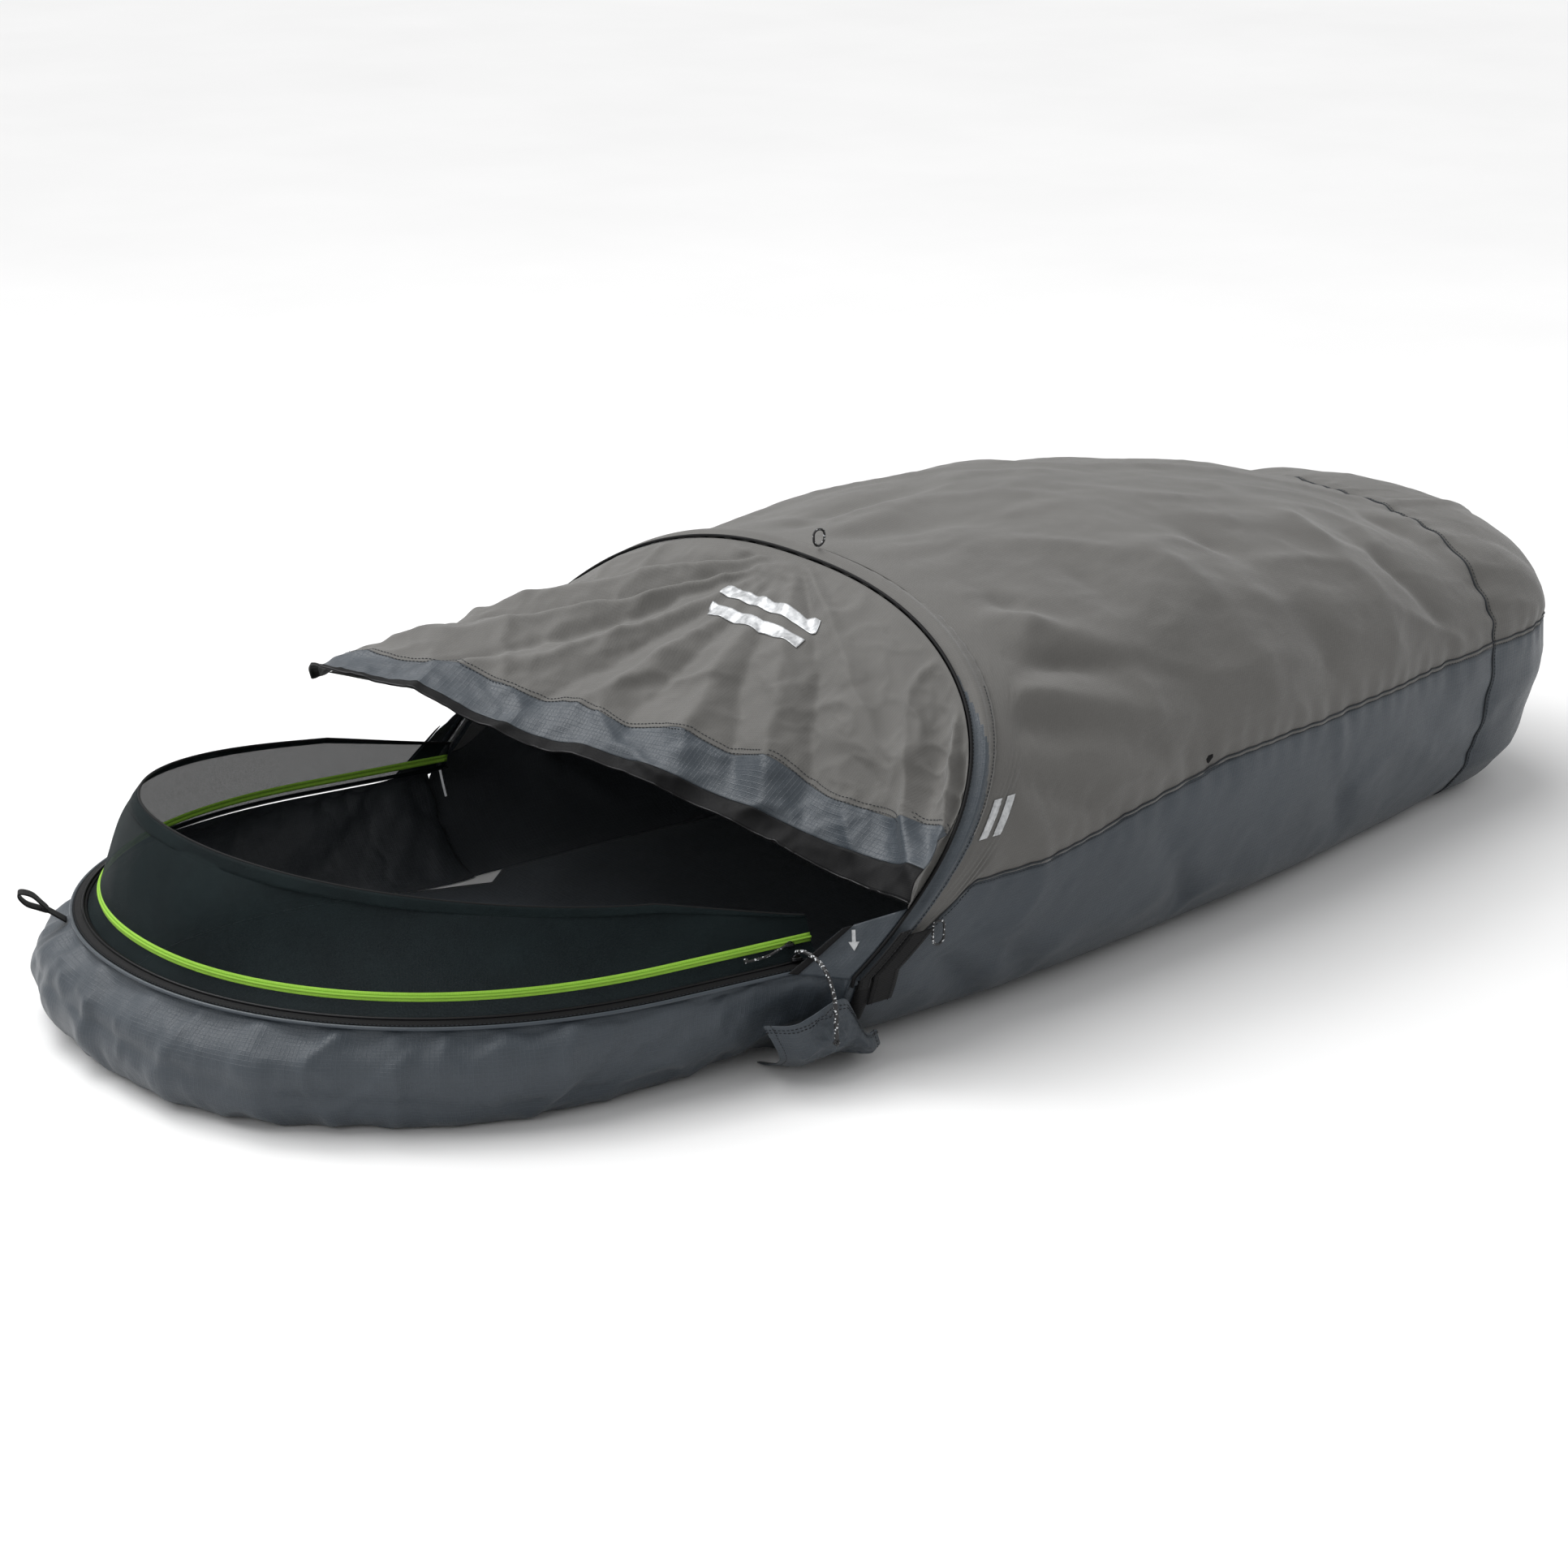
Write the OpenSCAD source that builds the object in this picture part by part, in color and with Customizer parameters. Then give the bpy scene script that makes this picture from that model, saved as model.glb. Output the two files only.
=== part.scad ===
// Hooded bivy sack, pitched and lofted as if a sleeping bag filled it.
// +X points to the foot end, +Z up. The origin is on the ground under the middle of the floor.

/* [Body] */
// Height of the sack at the pole arch
arch_h = 437; // [425:1:450]
// Half width of the sack at the pole arch
arch_half_w = 438; // [425:1:445]
// Height of the seam between the grey top and the slate side at the arch
seam_head_z = 190; // [185:1:195]
// Height of the same seam towards the foot
seam_foot_z = 236; // [230:1:240]
// Where the foot panels start
foot_x = 800; // [780:1:820]
// Tip of the foot end
foot_tip_x = 1030; // [1020:1:1050]
// Half width where the foot panels start
foot_half_w = 294; // [288:1:302]
// Height where the foot panels start
foot_h = 376; // [368:1:386]

/* [Head] */
// Where the straight sides of the head opening turn into its rounded end
head_x = -530; // [-540:1:-520]
// Length of the rounded end of the door zip
head_len = 436; // [430:1:440]
// Half width of the door zip
head_half_w = 390; // [384:1:394]
// Height of the door zip above the ground
zip_z = 120; // [115:1:122]
// How far the filled head wall bulges past the zip at the head
wall_bulge = 66; // [58:1:70]
// How far the head end lies to the far side, for each unit of length
head_skew = 0.12; // [0.1:0.01:0.13]

/* [Bug net] */
// How far the net zip lies inside the door zip
net_inset = 24; // [20:1:28]
// Height of the net zip above the ground
net_z = 144; // [142:1:148]
// Height of the net wall above its zip at the head
net_h_head = 116; // [100:1:120]

/* [Cloth and cord] */
// Thickness of the cloth shells
cloth = 2; // [1.6:0.1:2.4]
// Diameter of the guy and pull cord
cord_d = 3; // [2.5:0.1:3.5]
// Diameter of the arch pole
pole_d = 8; // [7:0.5:8.5]

/* [Hidden] */

gap = 0.5;                    // clearance between neighbouring pieces
arch_top_x = -75;             // where the arch stands at its top
arch_lean = 0.55;             // how far the arch runs towards the head for each unit down
arch_curl = 0.0009;           // how much more it does so near the ground
arch_foot_x = -345;           // where the arch feet go straight down
swell = 56;                   // how much the filled sack swells between the arch and the feet
floor_in = 118;               // how far the floor edge lies inside the widest line
foot_in = 84;                 // the same at the tip of the foot
k_top = 2 / 2.3;              // roundness of the grey top
sleeve_w = 34;                // width of the pole sleeve
mouth_x = -346;               // rear end of the head wall and of the zips
net_end_x = -356;             // rear end of the net
coil_d = 3;                   // height of the zip coils
slate = [0.29, 0.32, 0.35];
grey = [0.43, 0.42, 0.41];
black = [0.08, 0.08, 0.09];
lime = [0.61, 0.83, 0.28];
mesh = [0.10, 0.14, 0.16];
silver = [0.75, 0.76, 0.78];

// ---------- small tools ----------

function sgn_pow(v, k) = sign(v) * pow(abs(v), k);
function mix(a, b, t) = a + (b - a) * t;
function unit(v) = v / norm(v);

// surface normal of a grid of points at row i, column j
function grid_normal(p, i, j) =
    let (r = len(p) - 1, c = len(p[0]) - 1,
         down = p[min(i + 1, r)][j] - p[max(i - 1, 0)][j],
         along = p[i][min(j + 1, c)] - p[i][max(j - 1, 0)])
    unit(cross(down, along));

// the same grid moved back along its normals
function inset(p, t) =
    [for (i = [0:len(p) - 1]) [for (j = [0:len(p[0]) - 1]) p[i][j] - t * grid_normal(p, i, j)]];

// two triangles of a quad, in the order that faces out
function quad(a, b, c, d) = [[a, b, c], [a, c, d]];

// closed solid between an outer and an inner grid of the same size; flip turns its faces round
module between(outer, inner, flip = false) {
    rows = len(outer);
    cols = len(outer[0]);
    half = rows * cols;
    outside = [for (i = [0:rows - 2], j = [0:cols - 2])
        quad(i * cols + j, i * cols + j + 1, (i + 1) * cols + j + 1, (i + 1) * cols + j)];
    inside = [for (i = [0:rows - 2], j = [0:cols - 2])
        quad(half + i * cols + j, half + (i + 1) * cols + j,
             half + (i + 1) * cols + j + 1, half + i * cols + j + 1)];
    ends = [for (j = [0:cols - 2]) each [
        quad(j + 1, j, half + j, half + j + 1),
        quad((rows - 1) * cols + j, (rows - 1) * cols + j + 1,
             half + (rows - 1) * cols + j + 1, half + (rows - 1) * cols + j)]];
    sides = [for (i = [0:rows - 2]) each [
        quad(i * cols, (i + 1) * cols, half + (i + 1) * cols, half + i * cols),
        quad((i + 1) * cols + cols - 1, i * cols + cols - 1,
             half + i * cols + cols - 1, half + (i + 1) * cols + cols - 1)]];
    polyhedron(
        points = [each [for (row = outer) each row], each [for (row = inner) each row]],
        faces = [for (group = [outside, inside, ends, sides], pair = group, f = pair)
            flip ? [f[0], f[2], f[1]] : f]);
}

// cloth of thickness t behind a grid of points, or in front of it when t is negative
module skin(p, t = cloth) between(p, inset(p, t), t < 0);

// round cord or rod swept along points, with closed ends; no part of it may run along side_ref
module tube(path, d, sides = 8, side_ref = [1, 0, 0]) {
    last = len(path) - 1;
    function along(i) = unit(path[min(i + 1, last)] - path[max(i - 1, 0)]);
    function across(i) = unit(cross(along(i), side_ref));
    ring_points = [for (i = [0:last]) for (k = [0:sides - 1])
        let (a = 360 * k / sides, u = across(i), w = cross(along(i), u))
        path[i] + d / 2 * (cos(a) * u + sin(a) * w)];
    wall = [for (i = [0:last - 1], k = [0:sides - 1])
        let (m = (k + 1) % sides)
        each quad(i * sides + k, (i + 1) * sides + k, (i + 1) * sides + m, i * sides + m)];
    caps = [[for (k = [0:sides - 1]) k], [for (k = [sides - 1:-1:0]) last * sides + k]];
    polyhedron(points = ring_points, faces = concat(wall, caps));
}

// ---------- shape of the filled sack ----------

// smooth step from 0 to 1
function ease(t) = let (c = min(1, max(0, t))) c * c * (3 - 2 * c);

// half width of the sack at x, from the arch to the foot panels
function body_half_w(x) =
    let (t = max(0, (x + 200) / (foot_x + 200)))
    arch_half_w - (arch_half_w - foot_half_w) * pow(t, 1.8);

// height of the sack at x: it swells a little over the thighs, then drops to the feet
function body_h(x) =
    let (t = min(1, max(0, (x - arch_top_x) / (foot_x - arch_top_x))))
    mix(arch_h, foot_h, t) + swell * sin(180 * t);

// height of the seam between the grey top and the slate side at x
function seam_at(x) = mix(seam_head_z, seam_foot_z, ease((x + 150) / 450));

// x of the arch line at height z
function arch_at(z) =
    let (d = arch_h - z) max(arch_foot_x, arch_top_x - arch_lean * d - arch_curl * d * d);

// cross-section above the seam: v runs from 0 on the near side to 1 on the far side
function top_yz(w, h, v, zc) =
    [-w * sgn_pow(cos(180 * v), k_top), zc + (h - zc) * pow(abs(sin(180 * v)), k_top)];

// side of the cross-section below the seam: v runs from 0 at the floor to 1 at the seam
function side_yz(w, v, zc) = [w - floor_in * (1 - sin(90 * v)), zc * (1 - cos(90 * v))];

// point of the arch line: v from 0 to 1 over the top, and past each end down the side
function arch_point(v, ahead = 0) =
    let (yz = v < 0 ? let (s = side_yz(arch_half_w, 1 + v, seam_head_z)) [-s[0], s[1]]
        : v > 1 ? side_yz(arch_half_w, 2 - v, seam_head_z)
        : top_yz(arch_half_w, arch_h, v, seam_head_z))
    [arch_at(yz[1]) + ahead, yz[0], yz[1]];

// the same line moved out of or into the sack by a distance
function arch_offset(v, ahead, out) =
    let (p = arch_point(v, ahead), c = [p[0], 0, seam_head_z * 0.8]) p + out * unit(p - c);

// point on the grey top: u from the arch to the foot panels
function top_point(u, v, lead) =
    let (yz0 = top_yz(arch_half_w, arch_h, v, seam_head_z),
         x = mix(arch_at(yz0[1]) + lead, foot_x, u),
         yz = top_yz(body_half_w(x), body_h(x), v, seam_at(x)))
    [x, yz[0], yz[1]];

// point on the slate side: side is -1 near and 1 far
function side_point(u, v, side, lead) =
    let (x = mix(arch_at(side_yz(arch_half_w, v, seam_head_z)[1]) + lead, foot_x, u),
         yz = side_yz(body_half_w(x), v, seam_at(x)))
    [x, side * yz[0], yz[1]];

// direction out of the rounded foot at an angle from -90 near to 90 far
function foot_plan(a, w, reach) = [reach * pow(abs(cos(a)), 0.8), w * sgn_pow(sin(a), 0.8)];

// U line around the head: s from 0 near rear to 1 far rear, pushed out by off
function head_line(s, off, x_end = mouth_x) =
    let (straight = 0.16, t = (s - straight) / (1 - 2 * straight), w = head_half_w + off,
         a = -90 + 180 * t,
         q = s <= straight ? [mix(x_end, head_x, s / straight), -w]
            : s >= 1 - straight ? [mix(head_x, x_end, (s - 1 + straight) / straight), w]
            : [head_x - (head_len + off) * pow(cos(a), 0.9), w * sgn_pow(sin(a), 0.95)])
    q + [0, head_skew * (mouth_x - q[0])];

// band around the head: each profile entry is [distance out, height]
function head_band(profile, rows, x_end = mouth_x) =
    [for (i = [0:rows]) [for (e = profile) let (q = head_line(i / rows, e[0], x_end)) [q[0], q[1], e[1]]]];

// how far the head wall lies outside the zip line: a runs from 0 at the floor to 180 at the zip
function wall_off(s, a) =
    mix(24, wall_bulge, pow(sin(180 * s), 1.5)) * sin(a) - mix(100, 20, sin(180 * s)) * (1 + cos(a)) / 2;

// ---------- sewn body ----------

module floor_panel() color(slate) {
    side_start = -310;
    half = function (x) body_half_w(x) - floor_in - 1;
    foot_reach = foot_tip_x - foot_x - foot_in - 1;
    side_xs = [for (i = [0:11]) mix(side_start, foot_x, i / 11)];
    near_edge = [for (x = side_xs) [x, -half(x)]];
    far_edge = [for (i = [11:-1:0]) [side_xs[i], half(side_xs[i])]];
    foot_edge = [for (a = [-75:15:75]) let (q = foot_plan(a, half(foot_x), foot_reach)) [foot_x + q[0], q[1]]];
    head_edge = [for (i = [0:30]) let (s = 1 - i / 30) head_line(s, wall_off(s, 0) - 1.6)];
    linear_extrude(cloth) polygon(concat(near_edge, foot_edge, far_edge, head_edge));
}

module head_wall() color(slate)
    skin([for (i = [0:30]) [for (k = [0:7])
        let (s = i / 30, a = 180 * k / 7, q = head_line(s, wall_off(s, a)))
        [q[0], q[1], (zip_z - 1) * (1 - cos(a)) / 2]]], -cloth);

module side_wall(side) {
    grid = [for (i = [0:9]) [for (j = [0:6]) side_point(i / 9, j / 6 * 0.985, side, sleeve_w + 2)]];
    skin(grid, -side * cloth);
}
module side_wall_near() color(slate) side_wall(-1);
module side_wall_far() color(slate) side_wall(1);

module top_panel() color(grey)
    skin([for (i = [0:12]) [for (j = [0:16]) top_point(i / 12, j / 16, sleeve_w + 2)]]);

module foot_panel_upper() color(grey)
    skin([for (i = [0:12]) let (a = -90 + 15 * i) [for (j = [0:6]) let (e = 84 * j / 6,
        shrink = pow(cos(e), k_top), q = foot_plan(a, foot_half_w * shrink, (foot_tip_x - foot_x) * shrink))
        [foot_x + gap + q[0], q[1], seam_foot_z + (foot_h - seam_foot_z) * pow(sin(e), k_top)]]]);

module foot_panel_lower() color(slate)
    skin([for (i = [0:12]) let (a = -90 + 15 * i) [for (j = [0:5])
        let (v = j / 5 * 0.985, yz = side_yz(foot_half_w, v, seam_foot_z),
             q = foot_plan(a, yz[0], foot_tip_x - foot_x - foot_in * (1 - sin(90 * v))))
        [foot_x + gap + q[0], q[1], yz[1]]]]);

// triangle of cloth between the arch foot and the rear end of the door zip
module side_gusset(side) {
    low = -0.25;
    high = -0.03;
    grid = [for (i = [0:4]) [for (j = [0:3])
        let (rear = arch_point(mix(low, high, j / 3), -6),
             front = mix([-404, -391, 124], [-345, -408, 165], j / 3),
             far_lean = side > 0 ? 2 * head_skew * (mouth_x - front[0]) : 0,
             p = mix(rear, front - [0, far_lean, 0], i / 4))
        [p[0], -side * p[1], p[2]]]];
    skin(grid, side * cloth);
}
module side_gusset_near() color(slate) side_gusset(-1);
module side_gusset_far() color(slate) side_gusset(1);

// sealing tape inside the seam between the top and the side
module seam_tape(side) {
    clear = cloth + gap + 2;
    skin([for (i = [0:10]) let (x = mix(-180, foot_x - 5, i / 10))
        [for (z = [-11, 0, 11]) [x, side * (body_half_w(x) - clear), seam_at(x) + z]]], -side * 0.8);
}
module seam_tape_near() color(black) seam_tape(-1);
module seam_tape_far() color(black) seam_tape(1);

// ---------- pole and its sleeve ----------

pole_ahead = 15;              // pole line behind the arch line
pole_out = 2;                 // pole line outside the arch line
pole_end = 0.42;              // how far the pole runs down past the seam, as arch parameter

function pole_point(v) = arch_offset(v, pole_ahead, pole_out);

// open channel of cloth around the pole line, slit on the sack's side
module channel(v0, v1, rows, half_w, half_t) {
    function ring(v, w, t) =
        let (c = pole_point(v), out = unit([0, c[1], c[2] - seam_head_z * 0.8]))
        [for (k = [0:9]) let (a = -78 + 336 * k / 9) c + [w * cos(a), 0, 0] + t * sin(a) * out];
    between([for (i = [0:rows]) ring(mix(v0, v1, i / rows), half_w, half_t)],
            [for (i = [0:rows]) ring(mix(v0, v1, i / rows), half_w - 1.6, half_t - 1.6)]);
}

module pole_sleeve() color(slate) channel(-0.28, 1.28, 28, sleeve_w / 2, 8.5);

module pole_section(v0, v1)
    tube([for (i = [0:26]) pole_point(mix(v0, v1, i / 26))], pole_d);
module pole_section_near() color(silver) pole_section(-pole_end, 0.4995);
module pole_section_far() color(silver) pole_section(0.5005, 1 + pole_end);

module pole_ferrule() color(silver) {
    bore = pole_d + 1.2;
    length = 40;
    wall = 1;
    translate(pole_point(0.5)) rotate([90, 0, 0]) difference() {
        cylinder(d = bore + 2 * wall, h = length, center = true, $fn = 32);
        cylinder(d = bore, h = length + 2, center = true, $fn = 32);
    }
}

module pole_pocket_near() color(black) channel(-0.48, -0.29, 4, 10, 8);
module pole_pocket_far() color(black) channel(1.29, 1.48, 4, 10, 8);

// ---------- door zip ----------

slider_x = -386;              // where both sliders are parked, near the rear end of the zips

// moves and turns its children from the near straight side of a zip without skew
module on_track() translate([0, head_skew * (mouth_x - slider_x), 0]) children();

module door_zip_tape() color(black)
    skin(head_band([[4, zip_z + 0.3], [-3, zip_z + 4], [-10, zip_z + 5]], 30), -1);

module door_zip_coil() color(black)
    tube([for (i = [0:44]) let (q = head_line(i / 44, -6, mouth_x)) [q[0], q[1], zip_z + 6.2]],
         coil_d, 6, [0, 0, 1]);

// small slider with a bridge for its pull
module slider_body(length, width, height) {
    hull() for (x = [-1, 1]) translate([x * (length - width) / 2, 0, 0])
        cylinder(d = width, h = height * 0.6, $fn = 24);
    translate([-length / 4, -1, 0]) cube([length / 2, 2, height]);
}

module door_zip_slider() color(silver)
    on_track() translate([slider_x, -(head_half_w - 6), zip_z + 8.3])
        rotate([0, 0, -atan(head_skew)]) slider_body(13, 9, 6);

// cord pull: hangs over the outside of the wall from the slider
door_pull_path = [[-386, -379, 138], [-386, -392, 142], [-386, -406, 142], [-386, -422, 138], [-387, -436, 128],
    [-388, -446, 113], [-388, -451, 95], [-389, -453, 77], [-389, -454, 60]];
module door_zip_pull() color(black) {
    tube(door_pull_path, cord_d * 1.6);
    translate(door_pull_path[8] - [0, 0, 8]) cylinder(d = cord_d * 2.4, h = 10, $fn = 24);
}

// storm flap low on the side that covers the rear end of the door zip
module zip_garage(side) {
    grid = [for (i = [0:5]) [for (j = [0:4])
        let (x = mix(-464, -314, i / 5), z = mix(26, 94, j / 4),
             bulge = 7 * sin(180 * i / 5) * sin(90 + 60 * j / 4),
             far_lean = side > 0 ? 2 * head_skew * max(0, mouth_x - x) : 0)
        [x, side * (435 - 22 * (1 - j / 4) + bulge + far_lean), z]]];
    skin(grid, -side * cloth);
}
module zip_garage_near() color(slate) zip_garage(-1);
module zip_garage_far() color(slate) zip_garage(1);

// ---------- bug net ----------

module net_lower_strip() color(mesh)
    skin(head_band([[-11, zip_z + 4], [-17, net_z - 14], [-22, net_z - 8]], 30, net_end_x), -0.8);

module net_zip_tape_lower() color(lime)
    skin(head_band([[1 - net_inset, net_z - 7], [-net_inset, net_z - gap / 2]], 30, net_end_x), -1.4);

module net_zip_tape_upper() color(lime)
    skin(head_band([[-net_inset, net_z + gap / 2], [-1 - net_inset, net_z + 7]], 30, net_end_x), -1.4);

// height of the net wall above its zip: low at the rear ends, full at the head
function net_h(s) = 22 + (net_h_head - 22) * pow(sin(180 * s), 1.1);

// net wall from f = 0 at the zip to f = 1 at its top edge
function net_point(s, f) =
    let (q = head_line(s, -1 - net_inset + 9 * sin(180 * f) * sin(180 * s)
        - mix(8, 48, sin(180 * s)) * f, net_end_x))
    [q[0], q[1], net_z + 7.4 + (net_h(s) - 7.4) * f];

net_hem_at = 0.88;            // the hem's lower edge, as a share of the net's height

module bug_net_panel() color(mesh)
    skin([for (i = [0:32]) [for (j = [0:4]) net_point(i / 32, net_hem_at * j / 4)]], -1);

module net_hem() color(mesh)
    skin([for (i = [0:32]) [for (j = [0:1]) net_point(i / 32, mix(net_hem_at + 0.005, 1, j))]], -1.6);

module net_zip_slider() color(black)
    on_track() translate([slider_x, -(head_half_w - net_inset + 5.5), net_z - 3])
        rotate([0, 0, -atan(head_skew)]) slider_body(11, 7, 5);

// short cord pull that lies between the two zips
net_pull_path = [[-394, -370, 144], [-402, -371, 143], [-412, -371, 140], [-423, -370, 138],
    [-434, -368, 137], [-444, -367, 137]];
module net_zip_pull() color(black) tube(net_pull_path, cord_d, 8, [0, 0, 1]);

// ---------- hood ----------

hood_ahead = -5;              // rear edge of the hood in front of the arch line
hood_v0 = 0.085;              // where the hood's rear edge ends on the near side of the arch
hood_v1 = 0.97;               // and on its far side
// free edge of the hood from the near corner to the far corner
hood_edge = [[-292, -456, 196], [-284, -370, 186], [-298, -285, 194], [-334, -191, 222],
    [-378, -95, 249], [-421, 3, 266], [-466, 102, 281], [-520, 224, 312], [-560, 318, 316],
    [-545, 362, 288]];

// smooth curve through a list of points: t from 0 to 1
function through(list, t) =
    let (n = len(list) - 1, k = min(n - 1, floor(t * n)), f = t * n - k,
         a = list[max(0, k - 1)], b = list[k], c = list[k + 1], d = list[min(n, k + 2)])
    0.5 * (2 * b + (c - a) * f + (2 * a - 5 * b + 4 * c - d) * f * f
        + (3 * b - a - 3 * c + d) * f * f * f);

function hood_rear(v) = arch_point(mix(hood_v0, hood_v1, v), hood_ahead);

// hood surface: u from 0 at the arch to 1 at the free edge, v from near to far
function hood_point(u, v) =
    mix(hood_rear(v), through(hood_edge, v), u) + [0, 0, 16 * sin(180 * u) * sin(180 * v)];

hem_w = 50;                                        // width of the slate hem
function tape_w(v) = 12 + 30 * pow(1 - v, 3);      // width of the black zip tape
function hood_len(v) = norm(through(hood_edge, v) - hood_rear(v));
function tape_u(v) = 1 - tape_w(v) / hood_len(v);
function hem_u(v) = 1 - (tape_w(v) + hem_w) / hood_len(v);

module hood_part(rows, from, to, cols = 18)
    skin([for (i = [0:rows]) [for (j = [0:cols])
        hood_point(mix(from(j / cols), to(j / cols), i / rows), j / cols)]], -cloth);

module hood_flap() color(grey) hood_part(7, function (v) 0, function (v) hem_u(v));
module hood_hem_band() color(slate)
    hood_part(2, function (v) hem_u(v) + 0.002, function (v) tape_u(v));
module hood_zip_tape() color(black)
    hood_part(1, function (v) tape_u(v) + 0.002, function (v) 1);
module hood_zip_coil() color(black)
    tube([for (j = [0:22]) hood_point(1, j / 22) + [-2.2, 0, -1]], coil_d, 6, [0, 0, 1]);

// ---------- plain reflective bars, print, straps and loops ----------

// thin print lying on a panel function's surface
module bar_on_hood(u0, u1, v0, v1)
    skin([for (i = [0:3]) [for (j = [0:3])
        hood_point(mix(u0, u1, i / 3), mix(v0, v1, j / 3)) + [0, 0, 0.7]]], 0.4);

module hood_reflective_bars() color(silver) {
    bar_on_hood(0.22, 0.27, 0.40, 0.52);
    bar_on_hood(0.31, 0.36, 0.40, 0.52);
}

// two short bars that follow the sleeve on the near side
module body_reflective_bars() color(silver)
    for (lead = [46, 66])
        skin([for (i = [0:1]) [for (j = [0:3])
            let (v = mix(0.045, 0.09, j / 3),
                 x = arch_at(top_yz(arch_half_w, arch_h, v, seam_head_z)[1]) + lead + 12 * i,
                 yz = top_yz(body_half_w(x), body_h(x), v, seam_at(x)))
            [x, yz[0] - 1.5, yz[1] + 0.3]]], -0.4);

// arrow on the near gusset that points down to the pole pocket
module pole_arrow_print() color(silver)
    translate([-338.6, -419.5, 155.5]) rotate([66.2, 0, -31.9])
        linear_extrude(0.5) polygon([[0, -14], [6, -4], [2, -4], [2, 9], [-2, 9], [-2, -4], [-6, -4]]);

module hook_strip(side)
    skin([for (i = [0:1]) [for (j = [0:5])
        let (p = arch_offset(mix(-0.30, -0.10, j / 5), 3 + 22 * i, 11.5))
        [p[0], -side * p[1], p[2]]]], side * 1.5);
module hook_strip_near() color(black) hook_strip(-1);
module hook_strip_far() color(black) hook_strip(1);

module closure_tab(side)
    skin([for (i = [0:1]) [for (j = [0:5])
        let (p = arch_offset(mix(-0.44, -0.12, j / 5), 40 + 28 * i, 5))
        [p[0], -side * p[1], p[2]]]], side * 1.6);
module closure_tab_near() color(black) closure_tab(-1);
module closure_tab_far() color(black) closure_tab(1);

// small loop of cord standing on its base point in the XZ plane
module cord_loop(reach) {
    r = 8;
    translate([0, 0, cord_d / 2 + r]) {
        for (side = [-1, 1]) translate([side * r, 0, 0]) cylinder(d = cord_d, h = reach, $fn = 16);
        translate([0, 0, reach]) rotate([90, 0, 0])
            rotate_extrude(angle = 180, $fn = 48) translate([r, 0]) circle(d = cord_d, $fn = 16);
        rotate([-90, 0, 0])
            rotate_extrude(angle = 180, $fn = 48) translate([r, 0]) circle(d = cord_d, $fn = 16);
    }
}

module guy_loop_top() color(black)
    translate(arch_offset(0.5, pole_ahead, pole_out + 9)) cord_loop(4);
module guy_loop_side(side) {
    p = arch_offset(-0.20, 86, 13);
    translate([p[0], -side * p[1], p[2]]) cord_loop(12);
}
module guy_loop_near() color(black) guy_loop_side(-1);
module guy_loop_far() color(black) guy_loop_side(1);

// outline of a webbing loop folded back on itself, standing up from its base
module strap_outline(length, swell) {
    hull() {
        translate([0, 4]) circle(r = swell * 0.5, $fn = 24);
        translate([0, length]) circle(r = swell, $fn = 24);
    }
}

stake_base = [-962, 252, 128];    // where the stake loop is sewn to the head wall
module stake_loop_head() color(black)
    translate(stake_base) rotate([0, -55, -28]) rotate([90, 0, 0])
        translate([0, 0, -8]) linear_extrude(16) difference() {
            strap_outline(30, 8);
            translate([0, 3]) strap_outline(27, 6.4);
        }

floor_panel();
head_wall();
side_wall_near();
side_wall_far();
top_panel();
foot_panel_upper();
foot_panel_lower();
side_gusset_near();
side_gusset_far();
seam_tape_near();
seam_tape_far();
pole_sleeve();
pole_section_near();
pole_section_far();
pole_ferrule();
pole_pocket_near();
pole_pocket_far();
door_zip_tape();
door_zip_coil();
door_zip_slider();
door_zip_pull();
zip_garage_near();
zip_garage_far();
net_lower_strip();
net_zip_tape_lower();
net_zip_tape_upper();
bug_net_panel();
net_hem();
net_zip_slider();
net_zip_pull();
hood_flap();
hood_hem_band();
hood_zip_tape();
hood_zip_coil();
hood_reflective_bars();
body_reflective_bars();
pole_arrow_print();
hook_strip_near();
hook_strip_far();
closure_tab_near();
closure_tab_far();
guy_loop_top();
guy_loop_near();
guy_loop_far();
stake_loop_head();
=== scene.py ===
"""Looks of the hooded bivy sack: cloth panels, zips, net, straps, cords, materials, lights and camera."""

import math

import bmesh
import bpy
import numpy as np
from mathutils import Matrix, Vector, noise
from mathutils.bvhtree import BVHTree


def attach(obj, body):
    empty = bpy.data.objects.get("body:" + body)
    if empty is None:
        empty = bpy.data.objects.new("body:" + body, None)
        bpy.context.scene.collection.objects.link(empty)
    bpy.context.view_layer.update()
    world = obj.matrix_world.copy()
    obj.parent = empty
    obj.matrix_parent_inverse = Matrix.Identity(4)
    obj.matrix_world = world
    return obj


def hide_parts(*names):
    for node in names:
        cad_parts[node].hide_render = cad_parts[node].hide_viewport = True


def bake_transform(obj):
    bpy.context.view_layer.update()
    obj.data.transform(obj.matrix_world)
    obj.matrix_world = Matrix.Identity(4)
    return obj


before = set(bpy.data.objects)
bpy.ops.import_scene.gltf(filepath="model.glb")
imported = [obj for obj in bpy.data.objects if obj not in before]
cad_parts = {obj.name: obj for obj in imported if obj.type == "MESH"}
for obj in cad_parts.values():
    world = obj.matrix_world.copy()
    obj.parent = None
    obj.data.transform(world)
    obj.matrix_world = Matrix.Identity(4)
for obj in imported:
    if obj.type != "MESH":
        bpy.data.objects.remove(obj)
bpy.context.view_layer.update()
PI = math.pi

# ---------- camera ----------

VIEW_AZ = math.radians(-37.5)
VIEW_EL = math.radians(20)
VIEW_DIST = 4.51
VIEW_TARGET = Vector((-0.073, 0.051, 0.138))
LENS = 85


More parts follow.
